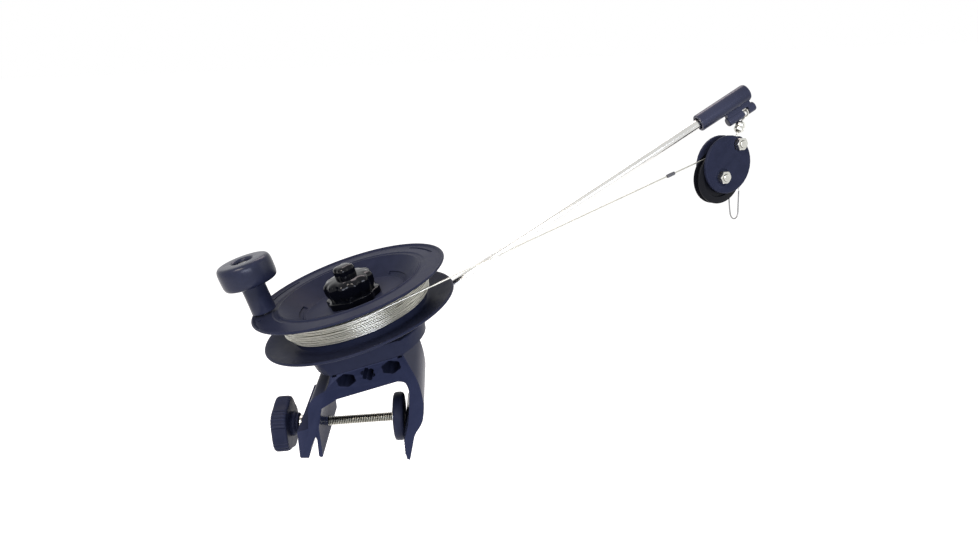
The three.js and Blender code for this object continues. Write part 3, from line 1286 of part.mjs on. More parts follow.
// Assembly
addPiece(clampFrame, 'clamp_bracket', makeBracket(), finish.bracket);
addPiece(clampFrame, 'clamp_screw', makeScrew(), finish.steel);
addPiece(clampFrame, 'clamp_knob', makeClampKnob(), finish.moulding);
addPiece(clampFrame, 'clamp_knob_washer', makeKnobWasher(), finish.steel);
addPiece(clampFrame, 'clamp_pad', makePad(), finish.moulding);
addPiece(clampFrame, 'pad_washer', makePadWasher(), finish.steel);
addPiece(clampFrame, 'pad_clip', makePadClip(), finish.steel);

addPiece(reelFrame, 'base_plate', makeBasePlate(), finish.moulding);
baseScrewPlaces.forEach((place, i) => {
  addPiece(reelFrame, `base_screw_${i + 1}`, makeBaseScrew().translate(...place), finish.steel);
  addPiece(reelFrame, `base_nut_${i + 1}`, makeBaseNut().translate(...place), finish.steel);
});
addPiece(reelFrame, 'spindle_bolt', makeSpindle(), finish.steel);
addPiece(reelFrame, 'friction_disc', makeFrictionDisc(), finish.fibre);

addPiece(reelFrame, 'spool_lower', makeLowerSpool(), finish.moulding);
addPiece(reelFrame, 'spool_upper', makeUpperSpool(), finish.moulding);
spoolScrewPlaces.forEach((place, i) => {
  addPiece(reelFrame, `spool_screw_${i + 1}`, makeSpoolScrew().translate(...place), finish.steel);
});
addPiece(reelFrame, 'spool_bush', makeSpoolBush(), finish.brass);
addPiece(reelFrame, 'wire_core', makeWireCore(), finish.wire);
addPiece(reelFrame, 'wire_winding', makeWinding(), finish.wire);
addPiece(reelFrame, 'crank_pin', makeCrankPin().translate(...crankPlace), finish.steel);
addPiece(reelFrame, 'crank_knob', makeCrankKnob().translate(...crankPlace), finish.moulding);

addPiece(reelFrame, 'fibre_washer', makeWasher(knobFoot, fibreTop), finish.fibre);
addPiece(reelFrame, 'steel_washer', makeWasher(fibreTop + GAP, steelTop), finish.steel);
addPiece(reelFrame, 'disc_spring', makeDiscSpring(), finish.steel);
addPiece(reelFrame, 'brake_knob', makeBrakeKnob(), finish.gloss);
addPiece(reelFrame, 'knob_insert', makeKnobInsert(), finish.brass);

addPiece(clampFrame, 'boom_rod', makeBoomRod(), finish.steel);
addPiece(clampFrame, 'boom_set_screw', makeSetScrew(), finish.steel);
addPiece(clampFrame, 'boom_end', makeBoomEnd(), finish.moulding);
addPiece(clampFrame, 'hanger_pin', makeHangerPin(), finish.steel);
addPiece(clampFrame, 'wire_run', makeWireRun(), finish.wire);

addPiece(clampFrame, 'upper_eye', makeUpperEye(), finish.steel);
addPiece(clampFrame, 'swivel_barrel', makeBarrel(), finish.steel);
addPiece(clampFrame, 'stop_bead', makeStopBead(), finish.bead);
addPiece(clampFrame, 'wire_lead', makeWireLead(), finish.wire);

addPiece(clampFrame, 'lower_eye', makeLowerEye(), finish.steel);
addPiece(clampFrame, 'cheek_front', makeCheek(0), finish.moulding);
addPiece(clampFrame, 'cheek_back', makeCheek(Math.PI), finish.moulding);
addPiece(clampFrame, 'axle_bolt', makeBlockBolt(0), finish.steel);
addPiece(clampFrame, 'axle_nut', makeBlockNut(0), finish.steel);
addPiece(clampFrame, 'ear_bolt', makeBlockBolt(EAR_TO_AXLE), finish.steel);
addPiece(clampFrame, 'ear_nut', makeBlockNut(EAR_TO_AXLE), finish.steel);
addPiece(clampFrame, 'ear_spacer_1', makeEarSpacer(1), finish.steel);
addPiece(clampFrame, 'ear_spacer_2', makeEarSpacer(-1), finish.steel);
addPiece(clampFrame, 'wire_end', makeWireEnd(), finish.wire);

addPiece(clampFrame, 'sheave', makeSheave(), finish.gloss);
addPiece(clampFrame, 'sheave_bush', makeSheaveBush(), finish.brass);
addPiece(clampFrame, 'end_loop', makeEndLoop(), finish.wire);

export default model;
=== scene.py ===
import json
import math

import bmesh
import bpy
from mathutils import Matrix, Vector, noise


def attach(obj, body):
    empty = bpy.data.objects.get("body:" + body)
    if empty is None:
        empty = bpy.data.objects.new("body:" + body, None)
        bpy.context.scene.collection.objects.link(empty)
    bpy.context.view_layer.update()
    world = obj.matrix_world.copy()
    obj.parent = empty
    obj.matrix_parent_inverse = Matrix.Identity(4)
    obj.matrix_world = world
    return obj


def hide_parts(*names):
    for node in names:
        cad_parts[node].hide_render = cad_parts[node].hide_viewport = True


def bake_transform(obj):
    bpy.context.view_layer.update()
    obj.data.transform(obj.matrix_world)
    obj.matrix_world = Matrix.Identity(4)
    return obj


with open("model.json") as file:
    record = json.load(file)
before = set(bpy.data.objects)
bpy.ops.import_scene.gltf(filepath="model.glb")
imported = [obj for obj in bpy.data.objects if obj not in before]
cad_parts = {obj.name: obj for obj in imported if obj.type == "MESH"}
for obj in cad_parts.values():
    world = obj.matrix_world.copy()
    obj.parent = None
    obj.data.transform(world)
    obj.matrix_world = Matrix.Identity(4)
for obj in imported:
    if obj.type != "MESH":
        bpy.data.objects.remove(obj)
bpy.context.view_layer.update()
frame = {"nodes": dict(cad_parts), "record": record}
nodes = frame["nodes"]

# Places and turns, in millimetres of the part's own frame
MM = 0.001
REEL_FOOT = (20.8272, 0, -48.8114)       # where the reel's axis meets the screw's height
REEL_TILT = math.radians(14)
SCREW_START = (-52.5928, 0, -48.8114)    # left wall's outer face, on the clamp screw's axis
BOOM_POINT = (40.0938, 20.5, 42.5638)    # boom's reference point
BOOM_WAY = (0.8646544, 0.1179817, 0.4883167)
BOOM_UP = (-0.4838333, -0.0660188, 0.8726665)
AXLE = (309.79, 47.0123, 139.3959)
BLOCK_FACE = (0.3185474, -0.9438544, 0.0875587)
BLOCK_OUT = (0.9474933, 0.3197755, 0)
BLOCK_UP = (-0.0279991, 0.0829613, 0.9961594)
BLOCK_DROP = (-0.4883125, -0.2425685, -0.8382788)
HANG_POINT = (336.115, 60.892, 193.2418)
HANG_WAY = (-0.3598018, -0.2058533, -0.9100369)
WIRE_EXIT = (11.7478, -59.6578, 73.8353)
WIRE_MEET = (304.2515, 46.9258, 158.6136)
WIRE_WAY = (0.9065543, 0.3303336, 0.2627526)
WIRE_HEADING = 0.33639
MEET_ANGLE = 1.83772

# Heights along the reel's axis, from the clamp screw's height
SPOOL_BOTTOM = 92.6
LOWER_RIM = 102.1            # lower flange's rim, its underside
HUB_TOP = 112.7
FLOOR_UNDER = 113
FLOOR_TOP = 116.0            # upper flange's sunken floor
KNOB_FOOT = 116.3
DRUM_TOP = 119.0
LAND_UNDER = 126.2
UPPER_RIM = 128.6            # upper flange's rim, its underside
LAND_TOP = 129.2             # upper flange's flat land
BOSS_TOP = 130.5
STEM_FOOT = 130.9
PORT_HEIGHT = 66.1

# Radii and turns about the reel's axis
SPOOL_BORE = 8
HUB_RADIUS = 17
SPOOL_SEAT = 26
DRUM_RADIUS = 56
DRUM_WALL = 4
FLANGE_RADIUS = 80
REEL_STEPS = 144
CRANK_RADIUS = 70            # crank pin's distance from the axis
CRANK_ANGLE = math.radians(186)
CRANK_BORE = 3.3
BOSS_RADIUS = 13.6

# Wire
WIRE_RADIUS = 0.6
TURN_WIRE_RADIUS = 0.56      # in the winding, so that its turns part
TURN_STEPS = 96
LAID_TURNS = 16
LAID_RADIUS = 61.35          # of the laid turns where they stand out most
WINDING_DRAW = 3.4           # how far the lowest turn draws in
WINDING_FOOT = 106.0
WINDING_TOP = 124.9
CROSSING_TURNS = 4
CROSSING_START = 109.5
CROSSING_RADIUS = 61.95
CROSSING_DRAW = 3.0
LAP_HEIGHT = 121.2           # the taut wire's lap on the winding
LAP_RADIUS = 63.2
LAP_ANGLE = math.radians(55)
WRAP_RADIUS = 20             # of the wire on the sheave
WIRE_LEG = WRAP_RADIUS + 5.1 # where the wire hangs beside the sheave
LOOP_TOP = -15               # end loop's top, from the sheave's axle

# Clamp
BRACKET_DEPTH = 76
CLAMP_KNOB_LOBES = 5
SCREW_RADIUS = 4.0
THREAD_ROOT = 3.3


# Frames, from millimetres along the piece's own axes to metres in the part's frame
def reel_frame():
    tilt = Matrix.Rotation(-REEL_TILT, 4, "Y")
    return Matrix.Translation(Vector(REEL_FOOT) * MM) @ tilt @ Matrix.Scale(MM, 4)


def axes_frame(across, up, along, origin):
    columns = Matrix((across, up, along)).transposed().to_4x4()
    return Matrix.Translation(Vector(origin) * MM) @ columns @ Matrix.Scale(MM, 4)


def boom_frame():
    side = Vector((0, 0, 1)).cross(Vector(BOOM_WAY)).normalized()
    return axes_frame(side, Vector(BOOM_UP), Vector(BOOM_WAY), BOOM_POINT)


def block_frame():
    up = -Vector(BLOCK_DROP)
    return axes_frame(up.cross(Vector(BLOCK_FACE)), up, Vector(BLOCK_FACE), AXLE)


def plumb_frame():
    return axes_frame(Vector(BLOCK_OUT), Vector(BLOCK_UP), Vector(BLOCK_FACE), AXLE)


def screw_frame():
    along_x = Matrix.Rotation(math.pi / 2, 4, "Y")
    return Matrix.Translation(Vector(SCREW_START) * MM) @ along_x @ Matrix.Scale(MM, 4)


def hanger_frame(origin):
    up = -Vector(HANG_WAY)
    return axes_frame(Vector(BLOCK_FACE).cross(up), Vector(BLOCK_FACE), up, origin)


# Colours and materials
def linear(code):
    """An sRGB hex colour as linear red, green, blue and alpha."""
    parts = [int(code[i:i + 2], 16) / 255 for i in (1, 3, 5)]
    return (*[p / 12.92 if p <= 0.04045 else ((p + 0.055) / 1.055) ** 2.4 for p in parts], 1)


def add_node(tree, kind, inputs=(), **settings):
    """Adds a node; its inputs are values or other nodes' outputs, by socket name or number."""
    node = tree.nodes.new("ShaderNode" + kind)
    for name, value in settings.items():
        setattr(node, name, value)
    for name, value in dict(inputs).items():
        if isinstance(value, bpy.types.NodeSocket):
            tree.links.new(value, node.inputs[name])
        else:
            node.inputs[name].default_value = value
    return node


def new_material(name):
    material = bpy.data.materials.new(name)
    material.use_nodes = True
    tree = material.node_tree
    tree.nodes.clear()
    return material, tree


def shaded_by(material, inputs):
    """Closes a material with a principled shader."""
    tree = material.node_tree
    shader = add_node(tree, "BsdfPrincipled", inputs)
    add_node(tree, "OutputMaterial", {"Surface": shader.outputs[0]})
    return material


def speckle(tree, place, millimetres, detail, roughness=0.5):
    """Noise whose features are about this many millimetres wide."""
    return add_node(tree, "TexNoise", {"Vector": place, "Scale": 1 / (millimetres * MM), "Detail": detail,
                                       "Roughness": roughness}).outputs["Fac"]


def mixed(tree, factor, low, high):
    """One colour passing into another as the factor goes from 0 to 1; each is a hex code or an output."""
    low, high = (linear(colour) if isinstance(colour, str) else colour for colour in (low, high))
    return add_node(tree, "Mix", {0: factor, 6: low, 7: high}, data_type="RGBA").outputs[2]


def ranged(tree, value, source, target):
    """A value carried from one range into another."""
    return add_node(tree, "MapRange", {"Value": value, "From Min": source[0], "From Max": source[1],
                                       "To Min": target[0], "To Max": target[1]}).outputs["Result"]


def bumped(tree, height, strength, millimetres, beneath=None):
    """A normal raised by a height, over another such normal if one is given."""
    inputs = {"Height": height, "Strength": strength, "Distance": millimetres * MM}
    if beneath is not None:
        inputs["Normal"] = beneath
    return add_node(tree, "Bump", inputs).outputs["Normal"]


def moulded_nylon(name, roughness, level):
    # Glass-filled nylon, injection moulded in a spark-finished tool: dark blue-grey and satin, with a fine
    # grain and slightly paler worn edges; the handles' tool is finer, so they are glossier
    material, tree = new_material(name)
    place = add_node(tree, "TexCoord").outputs["Object"]
    cloud = speckle(tree, place, 9, 3.0, 0.6)
    grain = speckle(tree, place, 0.35, 2.0, 0.6)
    edge = add_node(tree, "NewGeometry")
    worn = ranged(tree, edge.outputs["Pointiness"], (0.52, 0.62), (0.0, 0.45))
    base = mixed(tree, cloud, "#1b1f30", "#282c40")
    colour = mixed(tree, worn, base, "#3f4358")
    rough = ranged(tree, cloud, (0.3, 0.7), (roughness - 0.05, roughness + 0.05))
    bump = bumped(tree, grain, 0.05, 0.03)
    return shaded_by(material, {"Base Color": colour, "Roughness": rough, "Normal": bump, "IOR": 1.53,
                                "Specular IOR Level": level})


def anodised_extrusion():
    # Aluminium extrusion, dark blue-grey anodised and sealed: satin, with faint die lines along its length;
    # the dyed oxide hides the metal, so it shades as a dark solid that mirrors only along its flanks
    material, tree = new_material("anodised_aluminium_extruded")
    place = add_node(tree, "TexCoord").outputs["Object"]
    lines_place = add_node(tree, "Mapping", {"Vector": place, "Scale": (1.0, 0.01, 1.0)})
    lines = speckle(tree, lines_place.outputs[0], 0.9, 3.0)
    cloud = speckle(tree, place, 14, 4.0, 0.6)
    matt = speckle(tree, place, 0.25, 2.0)
    edge = add_node(tree, "NewGeometry")
    worn = ranged(tree, edge.outputs["Pointiness"], (0.52, 0.6), (0.0, 0.5))
    base = mixed(tree, cloud, "#20253a", "#2c3147")
    colour = mixed(tree, worn, base, "#4a4e66")
    rough = ranged(tree, lines, (0.3, 0.7), (0.12, 0.2))
    fine = bumped(tree, matt, 0.03, 0.02)
    drawn = bumped(tree, lines, 0.04, 0.04, fine)
    return shaded_by(material, {"Base Color": colour, "Roughness": rough, "Normal": drawn, "IOR": 1.6,
                                "Specular IOR Level": 0.002})


def glossy_phenolic():
    # Black phenolic, compression moulded and polished: deep black with sharp highlights
    material, tree = new_material("phenolic_polished")
    place = add_node(tree, "TexCoord").outputs["Object"]
    ripple = speckle(tree, place, 5, 2.0)
    smear = speckle(tree, place, 2.2, 4.0, 0.65)
    colour = mixed(tree, smear, "#030408", "#0a0b12")
    rough = ranged(tree, smear, (0.3, 0.7), (0.07, 0.13))
    bump = bumped(tree, ripple, 0.02, 0.1)
    return shaded_by(material, {"Base Color": colour, "Roughness": rough, "Normal": bump, "IOR": 1.5,
                                "Specular IOR Level": 0.16})


def black_acetal():
    # Black acetal sheave, machined: dull black with fine cutting marks
    material, tree = new_material("acetal_turned_black")
    place = add_node(tree, "TexCoord").outputs["Object"]
    marks = speckle(tree, place, 0.7, 4.0, 0.6)
    colour = mixed(tree, marks, "#05060a", "#101118")
    bump = bumped(tree, marks, 0.1, 0.03)
    return shaded_by(material, {"Base Color": colour, "Roughness": 0.42, "Normal": bump, "IOR": 1.48,
                                "Specular IOR Level": 0.12})


def dull_wire():
    # Stiff stainless end loop, pickled after bending: duller and greyer than the stranded wire
    material, tree = new_material("stainless_wire_pickled")
    place = add_node(tree, "TexCoord").outputs["Object"]
    marks = speckle(tree, place, 1.2, 4.0, 0.6)
    colour = mixed(tree, marks, "#6f6f6e", "#8d8d8b")
    bump = bumped(tree, marks, 0.15, 0.03)
    return shaded_by(material, {"Base Color": colour, "Roughness": 0.45, "Normal": bump, "Metallic": 1.0})


def polished_rod():
    # Stainless rod, drawn and polished lengthwise: bright, with hair lines along the boom
    material, tree = new_material("stainless_rod_drawn")
    place = add_node(tree, "TexCoord").outputs["Object"]
    turn = boom_frame().to_3x3().normalized().inverted().to_euler()
    along = add_node(tree, "Mapping", {"Vector": place, "Rotation": turn, "Scale": (1.0, 1.0, 0.004)})
    hair = speckle(tree, along.outputs[0], 0.5, 3.0)
    cloud = speckle(tree, place, 30, 2.0)
    colour = mixed(tree, cloud, "#c9c9c6", "#dcdbd7")
    rough = ranged(tree, hair, (0.3, 0.7), (0.12, 0.26))
    bump = bumped(tree, hair, 0.06, 0.03)
    return shaded_by(material, {"Base Color": colour, "Roughness": rough, "Normal": bump, "Metallic": 1.0})


def stainless_steel():
    # Stainless fasteners and turned pieces, tumbled bright: fine random scratches
    material, tree = new_material("stainless_tumbled")
    place = add_node(tree, "TexCoord").outputs["Object"]
    marks = speckle(tree, place, 0.6, 4.0, 0.7)
    cloud = speckle(tree, place, 4, 2.0)
    colour = mixed(tree, cloud, "#b9b9b2", "#d2d1ca")
    rough = ranged(tree, marks, (0.3, 0.7), (0.2, 0.36))
    bump = bumped(tree, marks, 0.1, 0.04)
    return shaded_by(material, {"Base Color": colour, "Roughness": rough, "Normal": bump, "Metallic": 1.0})


def rolled_thread():
    # Stainless rod with a rolled thread: bright crests and roots painted dark as shade in the grooves, told
    # from each other by their distance from the screw's axis
    material, tree = new_material("stainless_thread_rolled")
    place = add_node(tree, "TexCoord").outputs["Object"]
    across = add_node(tree, "Mapping", {"Vector": place, "Location": (0, 0, -SCREW_START[2] * MM),
                                        "Scale": (0.0, 1.0, 1.0)})
    reach = add_node(tree, "VectorMath", {0: across.outputs[0]}, operation="LENGTH")
    low, high = (THREAD_ROOT + 0.05) * MM, (SCREW_RADIUS - 0.05) * MM
    crest = ranged(tree, reach.outputs["Value"], (low, high), (0.0, 1.0))
    marks = speckle(tree, place, 0.7, 4.0, 0.7)
    bright = mixed(tree, marks, "#a4a398", "#c9c8bd")
    # Painted shade: the roots take a near-black colour where the grooves fall into shade
    colour = mixed(tree, crest, "#2c2b29", bright)
    bump = bumped(tree, marks, 0.1, 0.04)
    return shaded_by(material, {"Base Color": colour, "Roughness": 0.32, "Normal": bump, "Metallic": 1.0})


def stranded_wire():
    # Stranded stainless trolling wire: the strands twist round it, read from the piece's own map
    material, tree = new_material("stainless_wire_stranded")
    across = add_node(tree, "UVMap", uv_map="UVMap")
    apart = add_node(tree, "SeparateXYZ", {0: across.outputs[0]})
    # The map's first number is millimetres along the wire and its second goes once round it
    twist = add_node(tree, "Math", {0: apart.outputs[0], 1: 1 / 9}, operation="MULTIPLY")
    turn = add_node(tree, "Math", {0: apart.outputs[1], 1: twist.outputs[0]}, operation="ADD")
    strands = add_node(tree, "Math", {0: turn.outputs[0], 1: 6 * math.tau}, operation="MULTIPLY")
    wave = add_node(tree, "Math", {0: strands.outputs[0]}, operation="SINE")
    height = add_node(tree, "Math", {0: wave.outputs[0]}, operation="ABSOLUTE")
    place = add_node(tree, "TexCoord").outputs["Object"]
    cloud = speckle(tree, place, 3, 4.0, 0.65)
    colour = mixed(tree, cloud, "#a3a298", "#dcdbd1")
    # Painted shade: the grooves between the strands are darkened in the colour as well as bumped
    dark = ranged(tree, height.outputs[0], (0.0, 0.35), (0.55, 1.0))
    shaded = add_node(tree, "Mix", {0: 1.0, 6: colour, 7: dark}, data_type="RGBA", blend_type="MULTIPLY")
    bump = bumped(tree, height.outputs[0], 0.3, 0.08)
    return shaded_by(material, {"Base Color": shaded.outputs[2], "Roughness": 0.3, "Normal": bump,
                                "Metallic": 1.0})


def turned_brass():
    # Brass bushes and inserts, turned: warm, with fine cutting marks
    material, tree = new_material("brass_turned")
    place = add_node(tree, "TexCoord").outputs["Object"]
    rings = speckle(tree, place, 0.8, 3.0)
    colour = mixed(tree, rings, "#a07a35", "#c29c55")
    bump = bumped(tree, rings, 0.1, 0.04)
    return shaded_by(material, {"Base Color": colour, "Roughness": 0.32, "Normal": bump, "Metallic": 1.0})


def pressed_fibre():
    # Vulcanised fibre washers, pressed: brown, dull, faintly fibrous
    material, tree = new_material("vulcanised_fibre_pressed")
    place = add_node(tree, "TexCoord").outputs["Object"]
    threads = speckle(tree, place, 0.5, 5.0, 0.7)
    colour = mixed(tree, threads, "#4a3a2c", "#6b563f")
    bump = bumped(tree, threads, 0.3, 0.06)
    return shaded_by(material, {"Base Color": colour, "Roughness": 0.85, "Normal": bump})


def crimped_lead():
    # Crimped sleeve on the wire, grey and dull
    material, tree = new_material("tinned_crimp_dull")
    place = add_node(tree, "TexCoord").outputs["Object"]
    marks = speckle(tree, place, 0.8, 4.0, 0.7)
    colour = mixed(tree, marks, "#46474b", "#6a6b70")
    bump = bumped(tree, marks, 0.3, 0.1)
    return shaded_by(material, {"Base Color": colour, "Roughness": 0.55, "Normal": bump, "Metallic": 0.7})


looks = {
    "moulding": moulded_nylon("glass_filled_nylon_satin", 0.42, 0.05),
    "handle": moulded_nylon("glass_filled_nylon_fine", 0.24, 0.16),
    "anodised": anodised_extrusion(),
    "gloss": glossy_phenolic(),
    "acetal": black_acetal(),
    "loop": dull_wire(),
    "rod": polished_rod(),
    "steel": stainless_steel(),
    "thread": rolled_thread(),
    "wire": stranded_wire(),
    "brass": turned_brass(),
    "fibre": pressed_fibre(),
    "bead": crimped_lead(),
}


# Work in edit mode
def deselect_all():
    if bpy.context.object and bpy.context.object.mode != "OBJECT":
        bpy.ops.object.mode_set(mode="OBJECT")
    bpy.ops.object.select_all(action="DESELECT")


def make_only(obj):
    deselect_all()
    obj.select_set(True)
    bpy.context.view_layer.objects.active = obj


def settle(obj, matrix):
    """Moves a finished mesh to its place and leaves the object at the origin."""
    make_only(obj)
    obj.matrix_world = matrix
    bpy.ops.object.transform_apply(location=True, rotation=True, scale=True)


def apply_modifier(obj, kind, **settings):
    modifier = obj.modifiers.new(kind.lower(), kind)
    for name, value in settings.items():
        setattr(modifier, name, value)
    make_only(obj)
    bpy.ops.object.modifier_apply(modifier=modifier.name)


def finish(obj, name, look, body, *stands_for, slot=None, smooth=35, faceted=False):
    """Shades and names a piece and tells its body and the nodes that it stands for; its slot argument is not
    used.
    """
    make_only(obj)
    bpy.ops.object.shade_smooth_by_angle(angle=math.radians(smooth))
    if faceted:
        apply_modifier(obj, "WEIGHTED_NORMAL", keep_sharp=True, weight=80)
    obj.name = obj.data.name = name
    obj.data.materials.clear()
    obj.data.materials.append(looks[look])
    if body:
        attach(obj, body)
    if stands_for:
        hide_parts(*stands_for)
    return obj


def turned(profile, steps, matrix):
    """A profile of (radius, height) drawn up ring by ring from its first point; a radius of 0 is a pole."""
    deselect_all()
    has_foot = profile[0][0] == 0
    rings = profile[1:] if has_foot else profile
    radius, height = rings[0]
    bpy.ops.mesh.primitive_circle_add(vertices=steps, radius=radius, location=(0, 0, 0),
                                      fill_type="TRIFAN" if has_foot else "NOTHING")
    obj = bpy.context.object
    bpy.ops.object.mode_set(mode="EDIT")
    bpy.ops.mesh.select_mode(type="VERT")
    bpy.ops.mesh.select_all(action="SELECT")
    bpy.ops.transform.translate(value=(0, 0, height))
    if has_foot:
        bpy.ops.mesh.select_all(action="DESELECT")
        bpy.ops.mesh.select_non_manifold()
    for next_radius, next_height in rings[1:]:
        bpy.ops.mesh.extrude_region_move(TRANSFORM_OT_translate={"value": (0, 0, next_height - height)})
        if next_radius == 0:
            bpy.ops.mesh.merge(type="CENTER")
            break
        share = next_radius / radius
        bpy.ops.transform.resize(value=(share, share, 1), center_override=(0, 0, 0))
        radius, height = next_radius, next_height
    bpy.ops.mesh.select_all(action="SELECT")
    bpy.ops.mesh.remove_doubles(threshold=0.001)
    bpy.ops.mesh.normals_make_consistent(inside=False)
    bpy.ops.object.mode_set(mode="OBJECT")
    settle(obj, matrix)
    return obj


def curved(points, steps):
    """A smooth line through profile points, with so many steps between each two."""
    ends = [points[0], *points, points[-1]]
    line = []
    for i in range(1, len(ends) - 2):
        a, b, c, d = (Vector(p) for p in ends[i - 1:i + 3])
        for k in range(steps):
            t = k / steps
            line.append(tuple(0.5 * (2 * b + (c - a) * t + (2 * a - 5 * b + 4 * c - d) * t * t
                                     + (3 * b - a - 3 * c + d) * t ** 3)))
    return [*line, points[-1]]


def rounded(radius, level, round_, way, steps=5):
    """A quarter round's points at a turned edge: way 1 rises to a top edge, -1 rises from a bottom edge."""
    points = []
    for k in range(steps + 1):
        turn = math.pi / 2 * k / steps
        if way > 0:
            points.append((radius - round_ * (1 - math.cos(turn)), level - round_ * (1 - math.sin(turn))))
        else:
            points.append((radius - round_ * (1 - math.sin(turn)), level + round_ * (1 - math.cos(turn))))
    return points


def joined_by(obj, tool, operation, solver="EXACT"):
    apply_modifier(obj, "BOOLEAN", object=tool, operation=operation, solver=solver)
    bpy.data.objects.remove(tool)


def plug(radius, low, high, steps):
    """A round cutting solid on the reel's or screw's own axis."""
    return turned([(0, low), (radius, low), (radius, high), (0, high)], steps, Matrix.Scale(MM, 4))


def softened(node, look, body, width=0.35, angle=40, segments=2, slot=None, smooth=35):
    """The node's own solid with its sharp edges broken, as moulding or tumbling leaves them."""
    obj = bpy.data.objects.new(node, nodes[node].data.copy())
    bpy.context.scene.collection.objects.link(obj)
    make_only(obj)
    bpy.ops.object.mode_set(mode="EDIT")
    bpy.ops.mesh.select_all(action="SELECT")
    bpy.ops.mesh.remove_doubles(threshold=0.002 * MM)
    bpy.ops.mesh.dissolve_limited(angle_limit=math.radians(0.5))
    bpy.ops.object.mode_set(mode="OBJECT")
    apply_modifier(obj, "BEVEL", width=width * MM, segments=segments, limit_method="ANGLE",
                   angle_limit=math.radians(angle), use_clamp_overlap=True, harden_normals=False)
    return finish(obj, node + "_fine", look, body, node, slot=slot, smooth=smooth, faceted=True)


# Spool
# A rolled rim's section, from the flange's radius and the rim's underside
RIM_SECTION = [(-2.56, -0.7), (-0.9, -0.1), (-0.25, 0.4), (0, 1.0), (-0.25, 1.6), (-0.9, 1.95)]


def rolled_rim(level, *inner_end):
    return curved([(FLANGE_RADIUS + r, level + h) for r, h in [*RIM_SECTION, *inner_end]], 3)


def spool_lower():
    drum_bore = DRUM_RADIUS - DRUM_WALL
    profile = [
        (SPOOL_BORE, SPOOL_BOTTOM), *rounded(SPOOL_SEAT, SPOOL_BOTTOM, 0.6, -1), (32, SPOOL_BOTTOM + 0.95),
        (DRUM_RADIUS + 4, SPOOL_BOTTOM + 4.75), *rolled_rim(LOWER_RIM, (-1.8, 1.95)), (76, LOWER_RIM + 0.6),
        (DRUM_RADIUS + 4, LOWER_RIM - 2.2), (DRUM_RADIUS + 1.2, LOWER_RIM - 2.2),
        (DRUM_RADIUS + 0.2, LOWER_RIM - 1.5), (DRUM_RADIUS, LOWER_RIM), (DRUM_RADIUS, DRUM_TOP),
        (drum_bore, DRUM_TOP), (drum_bore, SPOOL_BOTTOM + 7), (HUB_RADIUS, SPOOL_BOTTOM + 4.4),
        (HUB_RADIUS, HUB_TOP), (SPOOL_BORE, HUB_TOP), (SPOOL_BORE, SPOOL_BOTTOM),
    ]
    obj = turned(profile, REEL_STEPS, reel_frame())
    return finish(obj, "spool_flange_lower", "moulding", "spool", "spool_lower")


def select_arc(bm, inner, outer, level, start, end):
    """Selects the faces between two radii and two angles near a height, in the reel's own millimetres."""
    for face in bm.faces:
        middle = face.calc_center_median()
        angle = math.degrees(math.atan2(middle.y, middle.x)) % 360
        near = abs(middle.z - level) < 0.9
        face.select = near and inner < middle.to_2d().length < outer and start < angle < end


def crank_place():
    return Vector((math.cos(CRANK_ANGLE), math.sin(CRANK_ANGLE), 0)) * CRANK_RADIUS


